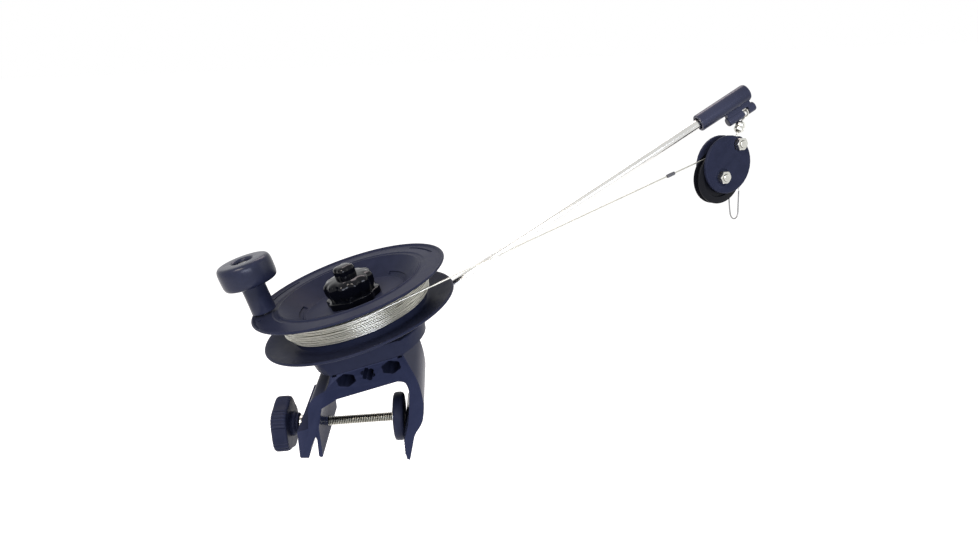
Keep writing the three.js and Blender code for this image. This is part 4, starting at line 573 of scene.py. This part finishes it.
def spool_upper():
    groove_inner, groove_outer = 70.8, 73.2
    pocket_inner, pocket_outer, pocket_level = 43, 46.2, FLOOR_TOP + 2.5
    dish = [(39.4, FLOOR_TOP), (41.2, FLOOR_TOP + 0.2), (42.8, FLOOR_TOP + 1.1), (56.9, LAND_TOP - 1),
            (58.2, LAND_TOP), (59.4, LAND_TOP)]
    profile = [
        (SPOOL_BORE, FLOOR_UNDER), (44, FLOOR_UNDER), (51.7, DRUM_TOP + 0.3), (DRUM_RADIUS, DRUM_TOP + 0.3),
        (DRUM_RADIUS, LAND_UNDER - 3), (DRUM_RADIUS + 3, LAND_UNDER),
        *rolled_rim(UPPER_RIM, (-1.8, 1.9), (-2.7, 1.1)), (76.7, LAND_TOP), (groove_outer, LAND_TOP),
        (groove_inner, LAND_TOP), (64, LAND_TOP), (63.2, LAND_TOP - 0.6), (62.4, LAND_TOP - 0.8),
        (60.4, LAND_TOP - 0.8), (59.8, LAND_TOP - 0.4), *reversed(curved(dish, 4)), (SPOOL_BORE, FLOOR_TOP),
        (SPOOL_BORE, FLOOR_UNDER),
    ]
    obj = turned(profile, REEL_STEPS, Matrix.Identity(4))
    make_only(obj)
    bpy.ops.object.mode_set(mode="EDIT")
    # Arc grooves on the land, and arc pockets where the dish's wall rises from its floor
    for inner, outer, level, start, end in ((groove_inner, groove_outer, LAND_TOP, 18, 48),
                                            (groove_inner, groove_outer, LAND_TOP, 138, 168),
                                            (pocket_inner, pocket_outer, pocket_level, 8, 52),
                                            (pocket_inner, pocket_outer, pocket_level, 168, 206)):
        bm = bmesh.from_edit_mesh(obj.data)
        select_arc(bm, inner, outer, level, start, end)
        bmesh.update_edit_mesh(obj.data)
        bpy.ops.mesh.inset(thickness=0.35, depth=-1)
    bpy.ops.object.mode_set(mode="OBJECT")
    settle(obj, Matrix.Scale(MM, 4))
    # Crank's boss, cut off along the rim, with the pin's hole and a small dimple beside it
    cut_low, cut_high = 120, 140
    boss = turned([(0, BOSS_TOP - 3.9), (BOSS_RADIUS, BOSS_TOP - 3.9),
                   *rounded(BOSS_RADIUS, BOSS_TOP, 1.1, 1), (0, BOSS_TOP)], 96, Matrix.Scale(MM, 4))
    settle(boss, Matrix.Translation(crank_place() * MM))
    joined_by(boss, plug(FLANGE_RADIUS - 2.4, cut_low, cut_high, REEL_STEPS), "INTERSECT")
    joined_by(obj, boss, "UNION")
    pin_hole = plug(CRANK_BORE, cut_low, cut_high, 32)
    settle(pin_hole, Matrix.Translation(crank_place() * MM))
    joined_by(obj, pin_hole, "DIFFERENCE")
    dimple = plug(1.4, LAND_TOP - 1, LAND_TOP + 2.8, 24)
    angle = math.radians(-161)
    settle(dimple, Matrix.Translation(Vector((math.cos(angle), math.sin(angle), 0)) * 73.8 * MM))
    joined_by(obj, dimple, "DIFFERENCE")
    settle(obj, reel_frame() @ Matrix.Scale(1 / MM, 4))
    return finish(obj, "spool_flange_upper", "moulding", "spool", "spool_upper", smooth=30, faceted=True)


# Wires: tubes with a map of millimetres along and turns round
def wire_tube(name, points, radius, sides, matrix):
    points = [Vector(p) for p in points]
    last = len(points) - 1
    rings, lengths = [], [0]
    for i, point in enumerate(points):
        along = (points[min(i + 1, last)] - points[max(i - 1, 0)]).normalized()
        across = Vector((0, 0, 1)).cross(along).normalized()
        lift = along.cross(across)
        for k in range(sides):
            turn = math.tau * k / sides
            rings.append(point + (across * math.cos(turn) + lift * math.sin(turn)) * radius)
        if i:
            lengths.append(lengths[-1] + (point - points[i - 1]).length)
    faces = [tuple(range(sides))[::-1], tuple(range(last * sides, (last + 1) * sides))]
    maps = [[(0, 0)] * sides, [(lengths[-1], 0)] * sides]
    for i in range(last):
        for k in range(sides):
            n = (k + 1) % sides
            faces.append((i * sides + k, i * sides + n, (i + 1) * sides + n, (i + 1) * sides + k))
            maps.append([(lengths[i], k / sides), (lengths[i], (k + 1) / sides),
                         (lengths[i + 1], (k + 1) / sides), (lengths[i + 1], k / sides)])
    mesh = bpy.data.meshes.new(name)
    mesh.from_pydata(rings, [], faces)
    layer = mesh.uv_layers.new(name="UVMap")
    for loop, place in zip(layer.data, [p for m in maps for p in m]):
        loop.uv = place
    mesh.transform(matrix)
    obj = bpy.data.objects.new(name, mesh)
    bpy.context.scene.collection.objects.link(obj)
    return obj


def between(table, share):
    """The value at a share, read between the rows of a table of (share, value)."""
    for (p0, v0), (p1, v1) in zip(table, table[1:]):
        if share <= p1:
            return v0 + (v1 - v0) * (share - p0) / (p1 - p0)
    return table[-1][1]


# How much of its full draw the winding is drawn in at each share of its height
DRAW_SHARES = [(0, 1), (0.2, 0.45), (0.45, 0.1), (0.7, 0), (1, 0.12)]


def unevenness(angle, size, share):
    """A smooth wander that closes round the reel."""
    return noise.noise(Vector((size * math.cos(angle), size * math.sin(angle), share)))


def laid_turns():
    """Turns laid side by side, each a little uneven."""
    count = LAID_TURNS * TURN_STEPS
    path = []
    for i in range(count + 1):
        share = i / count
        angle = math.tau * i / TURN_STEPS
        radius = LAID_RADIUS - WINDING_DRAW * between(DRAW_SHARES, share)
        radius = radius + 0.22 * unevenness(angle, 2, share * 40)
        lift = 0.3 * unevenness(angle, 3, share * 55 + 9)
        height = WINDING_FOOT + (WINDING_TOP - WINDING_FOOT) * share + lift
        path.append((radius * math.cos(angle), radius * math.sin(angle), height))
    obj = wire_tube("wire_turns", path, TURN_WIRE_RADIUS, 8, reel_frame())
    finish(obj, "wire_turns", "wire", "spool", "wire_winding", smooth=60)


def crossing_turns():
    """A few loose turns that climb over the laid ones to the wire's exit."""
    count = CROSSING_TURNS * TURN_STEPS
    end = WIRE_HEADING - math.pi / 2 - LAP_ANGLE
    path = []
    for i in range(count + 1):
        share = i / count
        angle = end - math.tau * CROSSING_TURNS * (1 - share)
        climb = 0.5 - 0.5 * math.cos(math.pi * share)
        wander = 1.6 * unevenness(angle, 2, share * 11 + 3) * math.sin(math.pi * share)
        height = CROSSING_START + (LAP_HEIGHT - CROSSING_START) * climb + wander
        # Under the taut wire's lap, which stays still while these turn
        height_share = (height - WINDING_FOOT) / (WINDING_TOP - WINDING_FOOT)
        radius = CROSSING_RADIUS - CROSSING_DRAW * between(DRAW_SHARES, height_share)
        path.append((radius * math.cos(angle), radius * math.sin(angle), height))
    obj = wire_tube("wire_cross_turns", path, TURN_WIRE_RADIUS, 8, reel_frame())
    finish(obj, "wire_cross_turns", "wire", "spool", smooth=60)


def winding_core():
    """The turns beneath, seen only between the outer ones."""
    inner, foot = DRUM_RADIUS + 0.3, WINDING_FOOT - 0.4
    outside = [(60.3 - WINDING_DRAW * drawn, foot + 19.8 * share) for share, drawn in DRAW_SHARES]
    profile = [(inner, foot), *outside, (inner, foot + 16.9), (inner, foot)]
    obj = turned(profile, 96, reel_frame())
    return finish(obj, "wire_under_turns", "steel", "spool", "wire_core", slot="wire")


# Crank
def crank_knob():
    foot, head, recess = STEM_FOOT, STEM_FOOT + 24.2, STEM_FOOT + 39.1
    head_line = [(9.4, head + 0.3), (16.6, head + 0.4), (19.6, head + 1.1), (20.7, head + 2.8),
                 (21.1, head + 6), (21.2, head + 13.4), (20.8, head + 16.8), (19.8, head + 18.8),
                 (18.0, head + 19.8), (14, head + 20), (9.3, head + 19.9)]
    profile = [
        (CRANK_BORE, foot), (9.2, foot), (9.6, foot + 0.4), (9.45, foot + 6), (9.3, foot + 14),
        *curved(head_line, 4), (8.5, head + 19.4), (8.0, head + 18.7), (7.9, head + 17.6), (7.8, recess),
        (CRANK_BORE, recess), (CRANK_BORE, foot),
    ]
    obj = turned(profile, 112, reel_frame() @ Matrix.Translation(crank_place()))
    return finish(obj, "crank_handle", "handle", "crank_knob", "crank_knob", slot="moulding")


# Lobed knobs
def lobed(levels, lobes, steps_per_lobe, matrix, ripple=None):
    """Turns rings of (radius, height, lobe share), then draws them in between the lobes."""
    profile = [(0, levels[0][1]), *[(radius, height) for radius, height, _ in levels], (0, levels[-1][1])]
    obj = turned(profile, lobes * steps_per_lobe, Matrix.Identity(4))
    for vertex in obj.data.vertices:
        reach = vertex.co.to_2d().length
        if reach < 0.001:
            continue
        _, _, lobe = min(levels, key=lambda level: abs(level[1] - vertex.co.z) + abs(level[0] - reach))
        angle = math.atan2(vertex.co.y, vertex.co.x)
        share = 1 + lobe * math.cos(lobes * angle)
        if ripple and lobe > 0:
            share += ripple(angle)
        vertex.co.x *= share
        vertex.co.y *= share
    settle(obj, matrix)
    return obj


def brake_knob():
    """Three tiers of (radius, height above the knob's foot, lobe share), hollow under the skirt."""
    skirt = [(20.2, 0.0, 0.04), (21.2, 0.3, 0.05), (21.5, 0.9, 0.05), (21.5, 4.6, 0.05), (21.2, 5.3, 0.05),
             (20.4, 5.7, 0.045), (17.6, 6.1, 0.02)]
    body = [(17.8, 5.2, 0.0), (18.2, 7.2, 0.03), (19.0, 9.5, 0.045), (19.5, 11.5, 0.05), (19.7, 14.8, 0.05),
            (19.5, 16.8, 0.05), (18.7, 18.5, 0.045), (17.2, 19.8, 0.035), (14.6, 20.7, 0.015), (10, 21, 0)]
    crown = [(8.0, 19.6, 0.08), (8.0, 26.0, 0.1), (7.8, 27.4, 0.1), (7.2, 28.7, 0.1), (6.1, 29.5, 0.08),
             (4.4, 29.9, 0.04)]
    tiers = []
    for levels, lobes, steps in ((skirt, 8, 18), (body, 11, 12), (crown, 4, 20)):
        raised = [(radius, KNOB_FOOT + height, lobe) for radius, height, lobe in levels]
        tiers.append(lobed(raised, lobes, steps, Matrix.Scale(MM, 4)))
    whole = tiers[0]
    joined_by(whole, tiers[1], "UNION")
    joined_by(whole, tiers[2], "UNION")
    # Hollow for the brake's washers, its spring and the spindle's end
    hollow = [(0, -1), (14, -1), (14, 5.1), (8.3, 5.1), (8.3, 18.7), (5.3, 18.7), (5.3, 21), (0, 21)]
    raised = [(radius, KNOB_FOOT + height) for radius, height in hollow]
    joined_by(whole, turned(raised, 48, Matrix.Scale(MM, 4)), "DIFFERENCE")
    settle(whole, reel_frame() @ Matrix.Scale(1 / MM, 4))
    return finish(whole, "brake_handle", "gloss", "brake_knob", "brake_knob", smooth=40, faceted=True)


def grip(angle):
    """Five grip lines on the crest of each of the clamp knob's lobes, 3.1 mm apart."""
    lobe = math.tau / CLAMP_KNOB_LOBES
    off = (angle + lobe / 2) % lobe - lobe / 2
    return -0.016 * (1 - math.cos(off * 45.6)) if abs(off) < math.radians(20) else 0


def clamp_knob():
    """Heights are along the screw from the clamp's outer face, so they are negative."""
    back = -33.8
    rim = [(18.4, 0.0, 0.05), (20.6, 0.25, 0.06), (21.8, 0.9, 0.07), (22.6, 2.3, 0.07), (22.8, 4, 0.07),
           (22.8, 10.4, 0.07), (22.4, 12.2, 0.07), (21.6, 13.1, 0.07), (20.4, 13.4, 0.06)]
    rim = [(radius, back + height, lobe) for radius, height, lobe in rim]
    crest = Matrix.Rotation(math.radians(-132), 4, "Z")
    obj = lobed(rim, CLAMP_KNOB_LOBES, 60, Matrix.Scale(MM, 4) @ crest, ripple=grip)
    neck = [(10.5, -19.4), (10.7, -18.2), (10.1, -16.6), (8.9, -15.9), (9.2, -15.1), (9.0, -14.3),
            (7.9, -13.6)]
    hub = [(0, -26.4), (10.3, -26.4), (10.3, -20.6), *curved(neck, 3), (0, -13.6)]
    joined_by(obj, turned(hub, 64, Matrix.Scale(MM, 4)), "UNION")
    joined_by(obj, plug(4.3, -29.6, -12, 32), "DIFFERENCE")
    settle(obj, screw_frame() @ Matrix.Scale(1 / MM, 4))
    return finish(obj, "clamp_handle", "moulding", "clamp_screw", "clamp_knob", smooth=40, faceted=True)


# Clamp screw
def thread_ridge(start, end):
    """One ridge wound along the screw; its pitch is drawn a little coarse so that it shows."""
    pitch, steps = 1.5, 28
    ridge = [(THREAD_ROOT, 0.0), (THREAD_ROOT, 0.1), (SCREW_RADIUS, 0.46), (SCREW_RADIUS, 0.64),
             (THREAD_ROOT, 1.0)]
    bm = bmesh.new()
    columns = []
    for i in range(int((end - start) / pitch) * steps + 1):
        angle = math.tau * i / steps
        base = start + pitch * i / steps
        way = Vector((math.cos(angle), math.sin(angle), 0))
        columns.append([bm.verts.new(way * radius + Vector((0, 0, base + pitch * share)))
                        for radius, share in ridge])
    for a, b in zip(columns, columns[1:]):
        for k in range(len(ridge) - 1):
            bm.faces.new((a[k], b[k], b[k + 1], a[k + 1]))
    mesh = bpy.data.meshes.new("clamp_thread")
    bm.to_mesh(mesh)
    bm.free()
    return mesh


def clamp_screw():
    start, end, tip, outer_end = -8.0, 66.0, 73.8, -29.3
    thread = bpy.data.objects.new("clamp_thread", thread_ridge(start, end))
    bpy.context.scene.collection.objects.link(thread)
    make_only(thread)
    bpy.ops.object.mode_set(mode="EDIT")
    bpy.ops.mesh.select_all(action="SELECT")
    bpy.ops.mesh.remove_doubles(threshold=0.01)
    bpy.ops.mesh.normals_make_consistent(inside=False)
    bpy.ops.object.mode_set(mode="OBJECT")
    core_radius = THREAD_ROOT + 0.02
    core = turned([(0, outer_end), (3.95, outer_end), (3.95, start + 0.2), (core_radius, start + 0.8),
                   (core_radius, end), (3.9, end + 0.6), (3.9, tip - 2.6), (3, tip - 2.6), (3, tip), (0, tip)],
                  48, Matrix.Identity(4))
    make_only(core)
    thread.select_set(True)
    bpy.ops.object.join()
    settle(core, screw_frame())
    return finish(core, "clamp_screw_threaded", "thread", "clamp_screw", "clamp_screw", slot="steel")


# Boom rod
def boom_rod():
    radius, foot, end = 4, -14, 325.4
    profile = [(0, foot), *rounded(radius, foot, 0.5, -1), *rounded(radius, end, 0.5, 1), (0, end)]
    obj = turned(profile, 64, boom_frame())
    return finish(obj, "boom_rod_polished", "rod", "base", "boom_rod", slot="steel")


# Sheave
def sheave():
    radius, face, web = 23.2, 3.65, 2.2
    side = [(21.6, 2.1), (20.0, 1.7), (19.3, 1.1)]
    groove = [(radius, -2.5), *[(r, -h) for r, h in side], (19.05, 0), *reversed(side), (radius, 2.5)]
    recess = [(17.2, face), (16.8, web), (10.4, web), (10, face), (4.9, face)]
    profile = [*[(r, -h) for r, h in reversed(recess)], *rounded(radius, -face, 0.5, -1, 3), *groove,
               *rounded(radius, face, 0.5, 1, 3), *recess, (4.9, -face)]
    obj = turned(profile, 112, block_frame())
    return finish(obj, "sheave_wheel", "acetal", "sheave", "sheave", slot="gloss")


# Block
def block_pieces():
    for node in ("cheek_front", "cheek_back"):
        softened(node, "moulding", "block", width=0.3)
    for node in ("axle_nut", "ear_nut", "axle_bolt", "ear_bolt"):
        softened(node, "steel", "block", width=0.25, angle=25)


def swivel():
    length, below_hang_point = 9.8, 9.6
    barrel = [(2.0, 0.0), (3.2, 0.8), (4.2, 2.1), (4.3, 3.4), (4.15, 4.6), (3.7, 4.9), (4.15, 5.2), (4.3, 6.4),
              (4.2, 7.7), (3.2, 9.0), (2.0, length)]
    foot = Vector(HANG_POINT) + Vector(HANG_WAY) * (below_hang_point + length)
    obj = turned([(0, 0), *curved(barrel, 4), (0, length)], 48, hanger_frame(foot))
    finish(obj, "swivel_barrel_turned", "steel", "hanger", "swivel_barrel")
    softened("upper_eye", "steel", "hanger", width=0.2, angle=70, smooth=70)
    softened("lower_eye", "steel", "block", width=0.2, angle=70, smooth=70)


# Taut wire, its lap on the winding, and the end loop
def on_winding(heading):
    place = Vector((LAP_RADIUS * math.sin(heading), -LAP_RADIUS * math.cos(heading), LAP_HEIGHT))
    return reel_frame() @ place / MM


def before_groove(distance):
    return Vector(WIRE_MEET) - Vector(WIRE_WAY) * distance


def taut_wire():
    """The run stops at the bead that the hanger carries, and the lead goes on from it to the block."""
    metres = Matrix.Scale(MM, 4)
    exit_point, run_end = Vector(WIRE_EXIT), before_groove(50.9)
    lap = [on_winding(WIRE_HEADING - LAP_ANGLE * (1 - i / 24)) for i in range(24)]
    straight = [exit_point.lerp(run_end, k / 60) for k in range(61)]
    run = wire_tube("wire_run_taut", [*lap, *straight], WIRE_RADIUS, 10, metres)
    finish(run, "wire_run_taut", "wire", None, "wire_run", smooth=60)
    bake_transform(run)
    lead_start, lead_end = before_groove(42.3), before_groove(17.3)
    points = [lead_start.lerp(lead_end, k / 30) for k in range(31)]
    lead = wire_tube("wire_lead_taut", points, WIRE_RADIUS, 10, metres)
    finish(lead, "wire_lead_taut", "wire", None, "wire_lead", smooth=60)
    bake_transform(lead)


def on_groove(angle):
    return Vector((math.cos(angle), math.sin(angle), 0)) * WRAP_RADIUS


def bezier(points, steps):
    a, b, c, d = points
    line = []
    for k in range(1, steps + 1):
        t = k / steps
        s = 1 - t
        line.append(a * s ** 3 + b * 3 * s * s * t + c * 3 * s * t * t + d * t ** 3)
    return line


def wire_over_sheave():
    arc = [on_groove(MEET_ANGLE * (1 - i / 40)) for i in range(41)]
    # From the groove over to the leg that hangs beside the sheave
    bend = bezier([arc[-1], Vector((WRAP_RADIUS, -4.5, 0)), Vector((WIRE_LEG, -4.5, 0)),
                   Vector((WIRE_LEG, -9, 0))], 14)
    start = plumb_frame().inverted() @ (before_groove(17) * MM)
    points = [start, start.lerp(arc[0], 0.5), *arc, *bend, Vector((WIRE_LEG, LOOP_TOP + 0.7, 0))]
    obj = wire_tube("wire_over_sheave", points, WIRE_RADIUS, 10, plumb_frame())
    finish(obj, "wire_over_sheave", "wire", "block", "wire_end", smooth=60)


def end_loop():
    def corner(across_share, down_share):
        return Vector((across_share * WRAP_RADIUS, -down_share * WRAP_RADIUS, 0))

    top = Vector((WIRE_LEG, LOOP_TOP, 0))
    points = [top]
    for curve in ([top, corner(1.255, 1.1), corner(1.25, 1.4), corner(1.255, 1.7)],
                  [corner(1.255, 1.7), corner(1.26, 2.09), corner(0.88, 2.11), corner(0.8, 1.71)],
                  [corner(0.8, 1.71), corner(0.75, 1.45), corner(0.72, 1.2), corner(0.7, 0.9)]):
        points += bezier(curve, 16)
    obj = wire_tube("snap_loop", points, WIRE_RADIUS, 10, plumb_frame())
    finish(obj, "snap_loop", "loop", "snap", "end_loop", slot="wire", smooth=60)


def stop_bead():
    along = Vector(WIRE_WAY)
    side = Vector((0, 0, 1)).cross(along).normalized()
    place = axes_frame(side, along.cross(side), along, before_groove(50.6))
    length = 8
    crimps = [(1.6, 2), (1.45, 2.6), (1.6, 3.2), (1.6, 4.8), (1.45, 5.4), (1.6, 6)]
    profile = [(0, 0), *rounded(1.5, 0, 0.35, -1, 3), *crimps, *rounded(1.5, length, 0.35, 1, 3), (0, length)]
    finish(turned(profile, 28, place), "wire_stop_crimped", "bead", "hanger", "stop_bead")


# Bracket, its ports cut finer than the solid's
def cut_port(bracket, radius, lobes, lobe_share, stretch, along):
    half = BRACKET_DEPTH / 2 + 7
    tool = lobed([(radius, -half, lobe_share), (radius, half, lobe_share)], lobes, 24, Matrix.Scale(MM, 4))
    # Its first lobe points up the reel's axis, and it runs from front to back
    turn = Matrix(((0, stretch[0], 0), (0, 0, 1), (stretch[1], 0, 0))).to_4x4()
    place = reel_frame() @ Matrix.Translation((along, 0, PORT_HEIGHT)) @ turn @ Matrix.Scale(1 / MM, 4)
    settle(tool, place)
    joined_by(bracket, tool, "DIFFERENCE")


def clamp_bracket():
    bracket = softened("clamp_bracket", "anodised", "base", width=0.4, angle=38, segments=2, smooth=32)
    for along in (-20.8, 16.3):
        cut_port(bracket, 6.1, 6, 0.06, (1.25, 0.9), along)
    cut_port(bracket, 4.5, 3, -0.3, (1, 1), -2.7)


# Pieces whose solids are right, with their edges broken
def plain_pieces():
    softened("base_plate", "moulding", "base", width=0.4, angle=50, smooth=40)
    softened("clamp_pad", "moulding", "clamp_pad", width=0.3, angle=50, smooth=50)
    softened("boom_end", "handle", "base", width=0.3, angle=45, slot="moulding", smooth=45)
    softened("clamp_knob_washer", "steel", "clamp_screw", width=0.2, angle=50, smooth=50)


def dress_nodes():
    """Every CAD node gets its slot's look, for those that stay in view."""
    for part in frame["record"]["subparts"]:
        slot = part["material_slot"]
        materials = nodes[part["node"]].data.materials
        materials.clear()
        materials.append(looks["steel" if slot == "wire" else slot])


dress_nodes()
spool_lower()
spool_upper()
winding_core()
laid_turns()
crossing_turns()
crank_knob()
brake_knob()
clamp_knob()
clamp_screw()
boom_rod()
sheave()
block_pieces()
swivel()
taut_wire()
wire_over_sheave()
end_loop()
stop_bead()
clamp_bracket()
plain_pieces()


# Camera, at the photograph's place
def camera():
    """Solved from the bracket, flanges and boom; its place is in millimetres."""
    place, focal_pixels, photo_width, sensor_width = (70.833, -476.973, 249.434), 620, 978, 36
    yaw, pitch, roll = math.radians(3.84), math.radians(19.78), math.radians(2.11)
    forward = Vector((math.sin(yaw) * math.cos(pitch), math.cos(yaw) * math.cos(pitch), -math.sin(pitch)))
    right = Vector((math.cos(yaw), -math.sin(yaw), 0))
    down = forward.cross(right)
    across = math.cos(roll) * right + math.sin(roll) * down
    below = -math.sin(roll) * right + math.cos(roll) * down
    data = bpy.data.cameras.new("camera")
    data.sensor_width = sensor_width
    data.lens = focal_pixels / photo_width * sensor_width
    data.clip_start, data.clip_end = 0.01, 50
    obj = bpy.data.objects.new("camera", data)
    bpy.context.scene.collection.objects.link(obj)
    turn = Matrix((across, -below, -forward)).transposed().to_4x4()
    obj.matrix_world = Matrix.Translation(Vector(place) * MM) @ turn
    bpy.context.scene.camera = obj


# Studio
def lamp(name, place, target, size, power, colour):
    """A rectangular area lamp at a place, turned to a target, in metres and watts."""
    data = bpy.data.lights.new(name, "AREA")
    data.shape = "RECTANGLE"
    data.size, data.size_y = size
    data.energy = power
    data.color = linear(colour)[:3]
    obj = bpy.data.objects.new(name, data)
    bpy.context.scene.collection.objects.link(obj)
    obj.location = place
    obj.rotation_euler = (Vector(target) - Vector(place)).to_track_quat("-Z", "Y").to_euler()


def seen_directly(tree):
    """1 for camera, glossy and transmission rays, 0 for the rest."""
    path = add_node(tree, "LightPath")
    some = add_node(tree, "Math", {0: path.outputs["Is Camera Ray"], 1: path.outputs["Is Glossy Ray"]},
                    operation="MAXIMUM")
    seen = add_node(tree, "Math", {0: some.outputs[0], 1: path.outputs["Is Transmission Ray"]},
                    operation="MAXIMUM")
    return seen.outputs[0]


def studio():
    """A white world and floor, seen at full strength but lighting less, and four lamps."""
    world = bpy.data.worlds.new("studio")
    bpy.context.scene.world = world
    world.use_nodes = True
    tree = world.node_tree
    tree.nodes.clear()
    level = add_node(tree, "MapRange", {"Value": seen_directly(tree), "To Min": 0.28, "To Max": 1.0})
    back = add_node(tree, "Background", {"Color": (1, 1, 1, 1), "Strength": level.outputs["Result"]})
    add_node(tree, "OutputWorld", {"Surface": back.outputs[0]})
    deselect_all()
    bpy.ops.mesh.primitive_plane_add(size=80, location=(0, 0, -0.30))
    floor = bpy.context.object
    floor.name = "floor"
    material, tree = new_material("paper_floor")
    glow = add_node(tree, "MapRange", {"Value": seen_directly(tree), "To Min": 0.0, "To Max": 0.82})
    paper = add_node(tree, "BsdfDiffuse", {"Color": (0.8, 0.8, 0.8, 1)})
    light = add_node(tree, "Emission", {"Color": (1, 1, 1, 1), "Strength": glow.outputs["Result"]})
    both = add_node(tree, "AddShader", {0: paper.outputs[0], 1: light.outputs[0]})
    add_node(tree, "OutputMaterial", {"Surface": both.outputs[0]})
    floor.data.materials.append(material)
    lamp("key", (-0.45, -0.75, 0.95), (0.05, 0, 0.05), (0.6, 0.45), 13, "#fff4ea")
    lamp("front_fill", (0.35, -1.1, 0.35), (0.05, 0, 0.0), (0.8, 0.3), 9, "#e6ecff")
    lamp("right_side", (1.1, 0.1, 0.35), (0.1, 0, 0.05), (0.6, 0.8), 1.5, "#ffffff")
    lamp("back_top", (0.0, 0.7, 0.9), (0.05, 0, 0.05), (0.8, 0.4), 5, "#ffeef0")


camera()
studio()
bpy.context.scene.view_settings.view_transform = "Standard"
